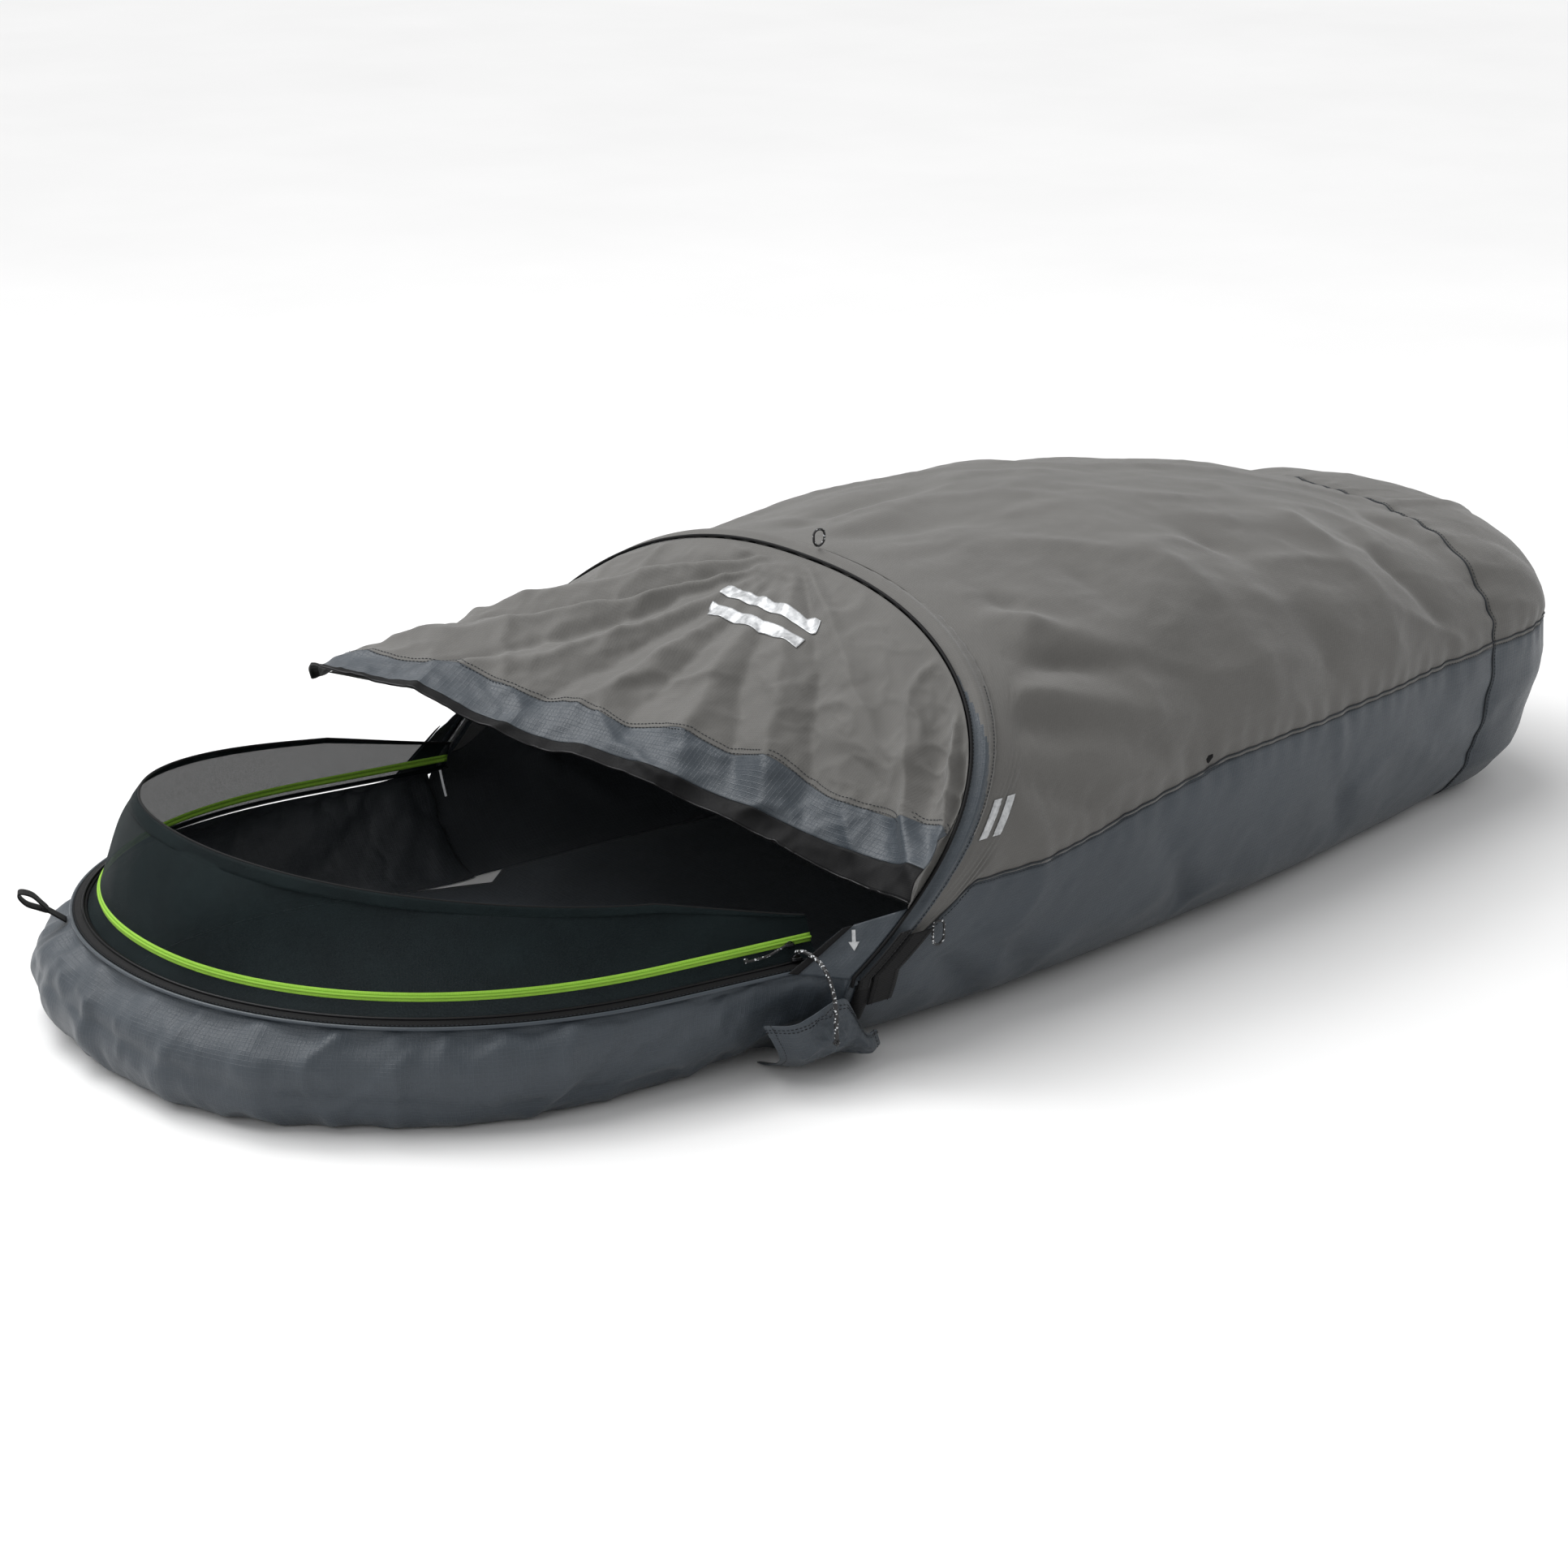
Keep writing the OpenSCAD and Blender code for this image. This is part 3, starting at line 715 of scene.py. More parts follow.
slate_cloth = cloth_material("slate_ripstop", SLATE, 0.42, 0.0011, 0.0052, 0.45, 0.08, 0.30)
slate_inside = cloth_material("slate_inside", (0.035, 0.040, 0.046), 0.5, 0.0011, 0.0052, 0.4, 0.05, 0.3)
grey_cloth = cloth_material("grey_shell", GREY, 0.66, 0.0016, 0.0032, 0.30, 0.25, 0.22, grid_light=1.06)
grey_inside = cloth_material("grey_inside", (0.115, 0.115, 0.118), 0.6, 0.0012, 0.0040, 0.3, 0.1, 0.25)
floor_cloth = cloth_material("floor_coated", (0.045, 0.052, 0.060), 0.45, 0.0012, 0.0060, 0.45, 0.05, 0.35)
tape_cloth = cloth_material("black_tape", BLACK, 0.62, 0.0009, None, 0.14, 0.0, 0.1)
webbing = webbing_material("black_webbing", (0.008, 0.008, 0.0085), 0.0016)
lime_tape = webbing_material("lime_tape", LIME, 0.0010, 0.5)
net_cloth = net_material()
flecked = cord_material()
thread = cloth_material("black_thread", (0.010, 0.010, 0.011), 0.6, 0.0006, None, 0.3, 0.0, 0.0, in_uv=False)
slate_thread = cloth_material("slate_thread", (0.022, 0.026, 0.031), 0.6, 0.0006, None, 0.3, 0.0, 0.0,
                              in_uv=False)
print_silver = print_material()
teeth_black = metal_material("zip_teeth_black", (0.02, 0.02, 0.021), 0.35)
slider_black = metal_material("slider_black", (0.03, 0.03, 0.032), 0.3)
alloy = metal_material("pole_alloy", (0.55, 0.56, 0.58), 0.28)

# ---------- cloth simulation ----------


SIM_FRAMES = 16
SIM_CAP = 0.010           # how far a simulated point may move


def simulate(obj, pins, rest, pressure, gravity, stiff, bend, collider=None):
    """Lets the cloth buckle: rest is its cut shape, and pins (0 to 1) hold it."""
    start = coords(obj)
    group = obj.vertex_groups.new(name="pin")
    for i, w in enumerate(pins):
        if w > 0:
            group.add([i], float(w), "REPLACE")
    obj.shape_key_add(name="Basis")
    key = obj.shape_key_add(name="rest")
    key.data.foreach_set("co", rest.astype(np.float32).ravel())
    key.value = 0
    if collider is not None:
        collider.modifiers.new("Collision", "COLLISION")
        collider.collision.thickness_outer = 0.002
    mod = obj.modifiers.new("Cloth", "CLOTH")
    cloth = mod.settings
    cloth.quality = 7
    cloth.mass = 0.02
    cloth.tension_stiffness = stiff
    cloth.compression_stiffness = stiff
    cloth.shear_stiffness = stiff / 2
    cloth.bending_stiffness = bend
    cloth.air_damping = 2.0
    cloth.vertex_group_mass = "pin"
    cloth.rest_shape_key = key
    cloth.effector_weights.gravity = gravity
    cloth.use_pressure = True
    cloth.uniform_pressure_force = pressure
    mod.collision_settings.use_collision = collider is not None
    mod.collision_settings.use_self_collision = False
    mod.collision_settings.distance_min = 0.002
    mod.point_cache.frame_start = 1
    mod.point_cache.frame_end = SIM_FRAMES
    scene = bpy.context.scene
    for f in range(1, SIM_FRAMES + 1):
        scene.frame_set(f)
    made = obj.evaluated_get(bpy.context.evaluated_depsgraph_get()).data
    end = np.zeros(len(made.vertices) * 3, np.float32)
    made.vertices.foreach_get("co", end)
    move = end.reshape(-1, 3).astype(float) - start
    size = np.linalg.norm(move, axis=1, keepdims=True)
    move *= SIM_CAP * np.tanh(size / SIM_CAP) / np.maximum(size, 1e-9)
    obj.modifiers.clear()
    obj.shape_key_clear()
    obj.vertex_groups.clear()
    scene.frame_set(1)
    set_coords(obj, start + move)
    if collider is not None:
        bpy.data.objects.remove(collider)


# ---------- sewn body: side walls, top and foot as one cloth, then split at the seams ----------

BODY_MIDDLE = np.array((0.3, 0, 0.2))
FOLD_GAIN = 1.75
BODY_ROWS, TOP_COLS, SIDE_COLS, FOOT_ROWS = 120, 112, 22, 72
PANEL_LEAD = 0.028
TONGUE_DROP = 0.22        # how far the grey top reaches down beside the arch, as arch parameter
TONGUE_LEN = 0.055        # how wide that tongue is along the sack


def body_point(u, q, lead):
    """Cloth of the body: q from -1 at the near floor edge, 0 and 1 at the seams, to 2 at the far floor edge.

    It starts a lead behind the arch, under the pole sleeve, and right at the arch where the sleeve has ended.
    """
    u, q = np.broadcast_arrays(np.asarray(u, float), q)
    low = ease((np.maximum(-q, q - 1) - 0.22) / 0.10)
    x = mix(arch_point(q)[..., 0] + mix(lead, -0.006, low), FOOT_X, u)
    over_y, over_z = top_yz(body_half_w(x), body_h(x), np.clip(q, 0, 1), seam_at(x))
    low_y, low_z = side_yz(body_half_w(x), np.clip(1 - np.maximum(-q, q - 1), 0, 1), seam_at(x))
    below = (q < 0) | (q > 1)
    return stack(x, np.where(below, np.sign(q - 0.5) * low_y, over_y), np.where(below, low_z, over_z))


def seam_drop(u):
    return TONGUE_DROP * (1 - ease(u * (FOOT_X - ARCH_FOOT_X) / TONGUE_LEN - 0.15))


def body_grids():
    """Grids of the sewn body as (points, panel number)."""
    u, v_top, v_side = rows_of(BODY_ROWS) ** 1.15, line(TOP_COLS), line(SIDE_COLS)
    a = -PI / 2 + PI * rows_of(FOOT_ROWS)
    drop = seam_drop(u)
    near = body_point(u, mix(-1, -drop, v_side), PANEL_LEAD)
    top = body_point(u, mix(-drop, 1 + drop, v_top), PANEL_LEAD)
    far = body_point(u, mix(1 + drop, 2, v_side), PANEL_LEAD)
    low = foot_low_point(a, v_side)
    high = foot_top_point(a, PI / 2 * line(TOP_COLS // 2))
    return [(near, 0), (top, 1), (far, 2), (low, 3), (high, 4)]


def welded_body():
    verts, faces, ids, uvs, start = [], [], [], [], 0
    for p, panel in body_grids():
        rows, cols = p.shape[:2]
        verts.append(p.reshape(-1, 3))
        uvs.append(grid_uv(p).reshape(-1, 2))
        made = grid_faces(rows, cols, start)
        faces.append(made)
        ids += [panel] * len(made)
        start += rows * cols
    obj = new_object("body_cloth", np.concatenate(verts), np.concatenate(faces), np.concatenate(uvs), ids=ids)
    bm = bmesh.new()
    bm.from_mesh(obj.data)
    bmesh.ops.remove_doubles(bm, verts=bm.verts, dist=0.0004)
    bmesh.ops.recalc_face_normals(bm, faces=bm.faces)
    bm.to_mesh(obj.data)
    bm.free()
    return obj


def vertex_normals(obj):
    n = np.zeros(len(obj.data.vertices) * 3, np.float32)
    obj.data.vertex_normals.foreach_get("vector", n)
    return n.reshape(-1, 3).astype(float)


def outward(obj, middle):
    """Turns the faces round if they point to the middle."""
    c, n = coords(obj), vertex_normals(obj)
    if ((c - middle) * n).sum() < 0:
        obj.data.flip_normals()


# Grooves and ridges that pulled cloth has beside the arch and over the legs: start, end, width, height.
FOLDS = (
    ((-0.10, -0.37, 0.34), (0.24, -0.41, 0.23), 0.020, -0.014),
    ((-0.09, -0.34, 0.37), (0.16, -0.40, 0.29), 0.015, 0.010),
    ((-0.06, -0.31, 0.40), (0.20, -0.37, 0.33), 0.018, -0.012),
    ((-0.14, -0.40, 0.29), (0.06, -0.43, 0.21), 0.013, -0.010),
    ((-0.02, -0.24, 0.43), (0.14, -0.36, 0.34), 0.018, 0.010),
    ((0.00, -0.18, 0.46), (0.13, -0.40, 0.28), 0.018, -0.009),
    ((0.14, -0.20, 0.46), (0.20, -0.41, 0.27), 0.025, -0.009),
    ((0.26, -0.22, 0.46), (0.33, -0.41, 0.26), 0.022, 0.008),
    ((0.34, -0.16, 0.48), (0.46, -0.40, 0.26), 0.026, -0.010),
    ((0.52, -0.14, 0.46), (0.58, -0.36, 0.27), 0.022, 0.007),
    ((0.60, -0.20, 0.43), (0.70, -0.33, 0.27), 0.020, -0.008),
    ((0.70, -0.10, 0.42), (0.80, -0.29, 0.26), 0.018, -0.007),
    ((-0.05, 0.05, 0.44), (0.24, -0.10, 0.49), 0.020, -0.008),
    ((-0.04, 0.12, 0.43), (0.20, 0.10, 0.48), 0.022, -0.008),
    ((-0.10, 0.37, 0.34), (0.24, 0.40, 0.24), 0.020, -0.013),
    ((-0.03, 0.26, 0.42), (0.18, 0.39, 0.28), 0.018, -0.010),
    ((0.30, 0.24, 0.45), (0.42, 0.40, 0.26), 0.024, -0.009),
    ((0.56, 0.20, 0.43), (0.66, 0.35, 0.27), 0.022, -0.007),
    ((-0.24, -0.44, 0.12), (-0.12, -0.37, 0.02), 0.013, -0.010),
    ((-0.20, -0.44, 0.15), (-0.02, -0.37, 0.02), 0.016, -0.009),
    ((0.10, -0.43, 0.19), (0.22, -0.36, 0.03), 0.020, -0.008),
    ((0.44, -0.40, 0.20), (0.52, -0.32, 0.03), 0.020, -0.007),
    ((0.92, -0.22, 0.24), (0.90, -0.14, 0.05), 0.016, -0.008),
    ((-0.22, 0.44, 0.13), (-0.08, 0.37, 0.02), 0.016, -0.010))


def fold_height(c):
    """Height of those folds at each point; their crests are sharp and they fade at both ends."""
    height = np.zeros(len(c))
    for start, end, width, tall in FOLDS:
        a, b = np.array(start), np.array(end)
        t = np.clip(((c - a) @ (b - a)) / ((b - a) @ (b - a)), 0, 1)
        d = np.linalg.norm(c - (a + t[:, None] * (b - a)), axis=1)
        height += tall * np.exp(-(d / width) ** 1.4) * arc(0.08 + 0.84 * t)
    return height


def add_folds(obj):
    """Moves the body cloth along its normals: folds, creases, puckers, and the seams drawn in."""
    c, n = coords(obj), vertex_normals(obj)
    soft = ease(c[:, 2] / 0.06) * ease((c[:, 0] - arch_at(c[:, 2]) - 0.03) / 0.06)
    slanted = c * (0.55, 1.0, 1.0) + 0.35 * c[:, [2, 0, 1]]
    height = (0.004 * noise_of(c, 0.30, 3.0) + 0.0060 * creases_of(slanted, 0.16, 8.0)
              + 0.0014 * creases_of(slanted, 0.05, 5.0))
    seam_gap = np.abs(c[:, 2] - seam_at(c[:, 0]))
    foot_gap = np.abs(c[:, 0] - FOOT_X)
    around = np.arctan2(c[:, 2] - 0.15, c[:, 1])
    height += (0.0024 * np.sin(c[:, 0] * 2 * PI / 0.034
                               + 2 * np.sin(c[:, 0] * 21)) * np.exp(-(seam_gap / 0.024) ** 2))
    height += 0.0024 * np.sin(around * 46 + 2 * np.sin(around * 9)) * np.exp(-(foot_gap / 0.024) ** 2)
    height -= 0.0030 * (np.exp(-(seam_gap / 0.007) ** 2) + np.exp(-(foot_gap / 0.007) ** 2))
    set_coords(obj, c + n * ((height + FOLD_GAIN * fold_height(c)) * soft)[:, None])


def build_body():
    obj = welded_body()
    outward(obj, BODY_MIDDLE)
    c = coords(obj)
    pins = np.zeros(len(c))
    pins[c[:, 2] < 0.002] = 1.0
    pins[c[:, 0] - arch_at(c[:, 2]) < PANEL_LEAD + 0.004] = 1.0
    rest = c * (1.030, 1.022, 1.022)
    inner = new_object("body_form", c - 0.007 * vertex_normals(obj),
                       [tuple(p.vertices) for p in obj.data.polygons])
    simulate(obj, pins, rest, pressure=0.5, gravity=0.5, stiff=15, bend=0.25,
             collider=inner)
    add_folds(obj)
    subdivide(obj)
    return obj


def nearest_on(tree, p):
    """Closest point on a mesh and the normal there."""
    spot, normal, _, _ = tree.find_nearest(Vector(p))
    return np.array(spot), np.array(normal)


def lay_on(tree, path, lift):
    """A path moved onto the cloth below it, and lifted off it; also the normals."""
    found = [nearest_on(tree, p) for p in path]
    normals = np.array([n for _, n in found])
    return np.array([s for s, _ in found]) + lift * normals, normals


body_whole = build_body()
outward(body_whole, BODY_MIDDLE)
body_tree = BVHTree.FromObject(body_whole, bpy.context.evaluated_depsgraph_get())
PANEL_LOOKS = (
    ("side_wall_near", slate_cloth, slate_inside, "slate_nylon"),
    ("top_panel", grey_cloth, grey_inside, "grey_shell"),
    ("side_wall_far", slate_cloth, slate_inside, "slate_nylon"),
    ("foot_panel_lower", slate_cloth, slate_inside, "slate_nylon"),
    ("foot_panel_upper", grey_cloth, grey_inside, "grey_shell"))
for (grid, number), (name, outer, inner, slot) in zip(body_grids(), PANEL_LOOKS):
    panel = cut_out(body_whole, number, name + "_cloth", outer, inner, SHELL_T)
    finish_piece(panel, "sack", outer, [name])


def seam_line(name, path, lift=0.0006):
    """A felled seam: a slightly raised fold of cloth edge with a row of stitches on one side."""
    path = resample(path, 0.006)
    laid, normals = lay_on(body_tree, path, lift)
    ridge = tube(name, laid, 0.0011, slate_thread, 6)
    finish_piece(ridge, "sack", slate_thread)
    t = unit(np.gradient(laid, axis=0))
    side = unit(np.cross(t, normals))
    spot, out = lay_on(body_tree, laid + 0.005 * side, 0.0002)
    row = stitches(name + "_stitches", spot, out, slate_thread)
    finish_piece(row, "sack", slate_thread)


def side_seam(side):
    u = np.linspace(0, 1, 400) ** 1.15
    p = body_point(u, -seam_drop(u), PANEL_LEAD)
    return p * (1, -side, 1)


seam_line("seam_near", side_seam(-1))
seam_line("seam_far", side_seam(1))
seam_line("seam_foot_round", foot_low_point(-PI / 2 + PI * line(120), 1.0))
seam_line("seam_foot_over", top_point(1.0, line(140), 0.0))
seam_line("seam_foot_side_near", side_point(1.0, line(30), -1, 0.0))
seam_line("seam_foot_side_far", side_point(1.0, line(30), 1, 0.0))
bpy.data.objects.remove(body_whole)

# ---------- tub floor ----------


def floor_edges():
    """Near and far edge of the floor from the head to the foot."""
    s = np.linspace(0.5, 0.0, 60)
    xs = np.linspace(-0.310, FOOT_X, 60)
    a = np.linspace(PI / 2, 0, 26)
    edges = []
    for side in (-1, 1):
        at = s if side < 0 else 1 - s
        hx, hy = head_line(at, wall_off(at, 0) - 0.002)
        qx, qy = foot_plan(a, body_half_w(FOOT_X) - FLOOR_IN - 0.001, FOOT_TIP_X - FOOT_X - FOOT_IN)
        x = np.concatenate([hx, xs, FOOT_X + qx])
        y = np.concatenate([hy, side * (body_half_w(xs) - FLOOR_IN - 0.001), side * qy])
        edges.append(stack(x, y, 0.0))
    return edges


def build_floor():
    near, far = floor_edges()
    p = mix(near[:, None], far[:, None], line(60)[None, :, None])
    ripple = 0.004 * np.clip(noise_of(p * (1, 0.6, 1), 0.16, 5.0), 0, 1)
    p[..., 2] = 0.0012 + ripple * ease(line(60) / 0.1) * ease((1 - line(60)) / 0.1)
    obj = cloth_grid("floor_cloth", p[:, ::-1], 0.001, floor_cloth, -1.0)
    finish_piece(obj, "sack", floor_cloth, ["floor_panel"])


build_floor()

# ---------- head wall ----------


def build_head_wall():
    s, t = rows_of(260), line(30)
    p = wall_point(s, t)
    n = grid_normals(p)
    outward_n = n if (n[130, 15] @ (p[130, 15] - (-0.5, 0.05, 0.06))) > 0 else -n
    under_zip = np.exp(-((1 - t) / 0.30) ** 2) * ease((1 - t) / 0.08)
    gathers = np.abs(np.sin(PI * 24 * s + 1.8 * np.sin(7 * s * PI) + 1.2 * t))
    radial = np.sin(2 * PI * 7 * s + 2.4 * np.sin(6 * s) + 2.2 * t) * ease(1.6 - 2.2 * np.abs(s - 0.62))
    squeezed = p * (1, 1, 0.55)
    move = -0.0075 * gathers * under_zip + 0.0040 * radial * arc(t)
    move = (move + (0.0075 * creases_of(squeezed, 0.11, 2.0) + 0.0035 * creases_of(squeezed, 0.045, 6.0)
                    - 0.003) * arc(t) ** 0.6)
    long_fold = t - mix(0.32, 0.62, ease((s - 0.12) / 0.5))
    move = move - 0.0080 * np.exp(-np.abs(long_fold / 0.07) ** 1.3) * arc((s - 0.05) / 0.75)
    p = p + outward_n * move[..., None]
    rows, cols = p.shape[:2]
    obj = new_object("head_wall_cloth", p.reshape(-1, 3), grid_faces(rows, cols), grid_uv(p).reshape(-1, 2))
    outward(obj, np.array((-0.55, 0.04, 0.06)))
    pins = np.zeros((rows, cols))
    pins[:, 0] = pins[:, -1] = 1.0
    pins[0] = pins[-1] = 1.0
    rest = coords(obj)
    rest = (rest - (-0.5, 0.04, 0)) * (1.035, 1.035, 1.02) + (-0.5, 0.04, 0)
    simulate(obj, pins.ravel(), rest, pressure=1.0, gravity=0.3, stiff=12, bend=0.1)
    c = coords(obj)
    c[:, 2] = np.maximum(c[:, 2], 0.0012)
    set_coords(obj, c)
    subdivide(obj)
    obj.data.materials.append(slate_cloth)
    thicken(obj, SHELL_T, -1.0, slate_inside)
    finish_piece(obj, "sack", slate_cloth, ["head_wall"])
    flat_size(wall_point(s, t))


build_head_wall()

# ---------- pole arch: sleeve, piping, pole ----------

POLE_AHEAD = 0.015
POLE_OUT = 0.002


def build_sleeve():
    """Flat slate sleeve with the pole's round bulge along its middle, and black piping on its head side."""
    v = np.linspace(-0.30, 1.30, 200)
    w = np.linspace(-0.0185, 0.0185, 15)
    crinkle = 0.0007 * np.sin(2 * PI * 46 * v + 3 * np.sin(8 * v))
    outer = []
    for across in w:
        lift = (POLE_OUT - 0.0005 + 0.0070 * math.exp(-(across / 0.0075) ** 2)
                + crinkle * (abs(across) / 0.0185))
        outer.append(arch_offset(v, POLE_AHEAD + across, lift))
    p = np.stack(outer, 1)
    obj = cloth_grid("pole_sleeve_cloth", p, 0.0, slate_cloth)
    obj.data.materials.append(grey_cloth)
    centre_v = np.repeat((v[1:] + v[:-1]) / 2, len(w) - 1)
    centre_w = np.tile((w[1:] + w[:-1]) / 2, len(v) - 1)
    from_top = np.minimum(centre_v, 1 - centre_v)
    slate_edge = 0.037 * (1 - ease((from_top - 0.02) / 0.30)) - 0.0185
    obj.data.polygons.foreach_set("material_index", (centre_w > slate_edge).astype(np.int32))
    thicken(obj, 0.0010, 0.0)
    finish_piece(obj, "sack", slate_cloth, ["pole_sleeve"])
    for name, at in (("sleeve_stitches_head", -0.0150), ("sleeve_stitches_foot", 0.0150)):
        low = v[v < 0.24]
        row = stitches(name, arch_offset(low, POLE_AHEAD + at, POLE_OUT + 0.0006), arch_out(low),
                       slate_thread)
        finish_piece(row, "sack", slate_thread)
    piping = tube("arch_piping", arch_offset(np.linspace(-0.30, 1.30, 260), -0.0030, 0.0030), 0.0019,
                  tape_cloth, 8)
    finish_piece(piping, "sack", tape_cloth)


build_sleeve()
for node in ("pole_section_near", "pole_section_far", "pole_ferrule"):
    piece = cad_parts[node]
    piece.data.materials.clear()
    piece.data.materials.append(alloy)


def build_pockets():
    """Black webbing pocket that takes each pole end."""
    for side, name in ((-1, "pole_pocket_near"), (1, "pole_pocket_far")):
        v = np.linspace(-0.50, -0.28, 30)
        v = v if side < 0 else 1 - v
        w = np.linspace(-0.0105, 0.0105, 9)
        p = np.stack([arch_offset(v, POLE_AHEAD + a, POLE_OUT
                                  + 0.0070 * math.cos(a / 0.0105 * PI / 2) ** 0.5) for a in w], 1)
        obj = cloth_grid(name + "_webbing", p, 0.0012, webbing, 0.0)
        finish_piece(obj, "sack", webbing, [name])


build_pockets()

# ---------- hood ----------

HOOD_COLS = 170
APEX = np.array((ARCH_TOP_X, 0.02, ARCH_H))


def hood_piece(obj, material, nodes=()):
    """Hood cloth, sewn to the arch: it gets its material if it has none, its place is baked into its mesh,
    and the parts it stands for are hidden.
    """
    if not obj.data.materials:
        obj.data.materials.append(material)
    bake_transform(obj)
    if nodes:
        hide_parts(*nodes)
    return obj


def hood_folds(p, u, v):
    """Tension folds that fan out from the top of the arch, and tucks along the near end of the arch."""
    dx, dy = -(p[..., 0] - APEX[0]), p[..., 1] - APEX[1]
    angle = np.arctan2(dy, dx) + 0.10 * noise_of(p, 0.22, 17.0)
    far = np.hypot(dx, dy)
    reach = ease(far / 0.10) * (0.45 + 0.55 * ease((0.75 - far) / 0.5))
    out = np.zeros(p.shape[:2])
    rays = [  # angle in degrees, width in degrees, height
        (-66, 3.5, 0.010), (-55, 3.0, -0.009), (-44, 4.5, 0.012), (-33, 3.0, -0.008), (-22, 4.0, 0.010),
        (-9, 4.0, -0.009),
        (2, 3.0, 0.008), (12, 3.0, -0.008), (21, 3.0, 0.011), (30, 2.6, -0.009), (38, 3.2, 0.013),
        (47, 3.0, -0.010),
        (56, 3.4, 0.010), (66, 4.0, -0.008)]
    for centre, width, height in rays:
        bend = centre + 9 * math.sin(centre) * (far / 0.5 - 0.5)
        out += height * np.exp(-(np.abs(np.degrees(angle) - bend) / width) ** 1.4)
    out *= reach * ease((1 - u) / 0.22 + 0.12)
    near_edge = np.exp(-((v - 0.12) / 0.10) ** 2) * ease(u / 0.10) * ease((1 - u) / 0.25)
    out += 0.011 * near_edge * (1 - 2 * np.abs(np.sin(PI * (2.2 * u + 5.5 * v) + 0.4)))
    out += 0.0050 * (creases_of(p, 0.11, 11.0) - 0.3) + 0.0020 * creases_of(p, 0.04, 3.0)
    printed = 0.75 * np.exp(-((u - 0.29) / 0.11) ** 2 - ((v - 0.46) / 0.09) ** 2)
    return 1.05 * out * ease(u / 0.05) * (1 - printed)


def build_hood():
    """Flap, hem and zip tape are one cloth when it is draped, and are then cut apart at their seams."""
    v = line(HOOD_COLS)[None, :]
    bands = [  # from u, to u, rows
        (np.zeros_like(v), hem_u(v), 72), (hem_u(v), tape_u(v), 10), (tape_u(v), np.ones_like(v), 5)]
    us, band_of = [], []
    for number, (a, b, rows) in enumerate(bands):
        for i in range(rows):
            us.append(mix(a, b, i / rows)[0])
            band_of.append(number)
    us.append(np.ones(HOOD_COLS + 1))
    u = np.array(us)
    vv = np.broadcast_to(v, u.shape)
    p = hood_point(u, vv)
    edge_wave = (ease((u - 0.70) / 0.30) * 0.006 * (np.sin(2 * PI * 4.3 * vv + 0.8)
                                                    + 0.5 * np.sin(2 * PI * 9.7 * vv)) * arc(vv) ** 0.5)
    height = hood_folds(p, u, vv) + edge_wave
    rows, cols = p.shape[:2]
    ids = np.repeat(band_of, cols - 1)
    obj = new_object("hood_whole", p.reshape(-1, 3), grid_faces(rows, cols), grid_uv(p).reshape(-1, 2),
                     ids=ids)
    outward(obj, np.array((-0.3, 0, 0.1)))
    pins = np.zeros((rows, cols))
    pins[0] = 1.0
    pins[-6:] = 0.9
    pins[:, 0] = pins[:, -1] = 0.9
    rest = coords(obj) * (1.004, 1.030, 1.004)
    simulate(obj, pins.ravel(), rest, pressure=0.3, gravity=0.25, stiff=15, bend=0.4)
    set_coords(obj, coords(obj) + vertex_normals(obj) * height.reshape(-1, 1))
    subdivide(obj)
    return obj


hood_whole = build_hood()
hood_tree = BVHTree.FromObject(hood_whole, bpy.context.evaluated_depsgraph_get())
HEM_T = 0.0016
hood_v = line(HOOD_COLS)[None, :]
flap_start, flap_end, tape_start, tape_end = 0 * hood_v, hem_u(hood_v), tape_u(hood_v), 0 * hood_v + 1
HOOD_BANDS = (  # piece, outside, inside, node, slot, thickness, from u, to u
    ("hood_flap_cloth", grey_cloth, grey_inside, "hood_flap", "grey_shell", SHELL_T, flap_start, flap_end),
    ("hood_hem_cloth", slate_cloth, slate_inside, "hood_hem_band", "slate_nylon", HEM_T, flap_end,
     tape_start),
    ("hood_zip_tape_cloth", tape_cloth, tape_cloth, "hood_zip_tape", "black_tape", HEM_T, tape_start,
     tape_end))
hood_pieces = []
for number, (name, outer, inner, node, slot, thickness, _, _) in enumerate(HOOD_BANDS):
    piece = cut_out(hood_whole, number, name, outer, inner, thickness)
    hood_pieces.append(hood_piece(piece, outer, [node]))
for piece, (*_, low_u, high_u) in zip(hood_pieces, HOOD_BANDS):
    band = hood_point(mix(low_u, high_u, rows_of(20)), hood_v)


def build_hood_trim():
    v = line(300)
    seam, out = lay_on(hood_tree, resample(hood_point(hem_u(v), v), 0.003), 0.0003)
    hood_piece(stitches("hood_hem_stitches", seam, out, slate_thread), slate_thread)
    t = unit(np.gradient(seam, axis=0))
    second, out = lay_on(hood_tree, seam + 0.006 * unit(np.cross(t, out)), 0.0003)
    hood_piece(stitches("hood_hem_stitches_second", second, out, slate_thread), slate_thread)
    edge, out = lay_on(hood_tree, resample(hood_point(1.0, v), 0.0011), 0.0)
    radius = 0.0013 + 0.0005 * (np.arange(len(edge)) % 2)
    hood_piece(tube("hood_zip_teeth", edge + 0.0003 * out, radius, teeth_black, 6), teeth_black,
               ["hood_zip_coil"])
    for name, u0, u1 in (("hood_bar_upper", 0.22, 0.27), ("hood_bar_lower", 0.31, 0.36)):
        flat = hood_point(mix(u0, u1, rows_of(12)), mix(0.40, 0.52, line(70)))
        laid, _ = lay_on(hood_tree, flat.reshape(-1, 3), 0.0009)
        bar = cloth_grid(name, laid.reshape(flat.shape), PRINT_T, print_silver, 1.0)
        hood_piece(bar, print_silver, ["hood_reflective_bars"])


build_hood_trim()


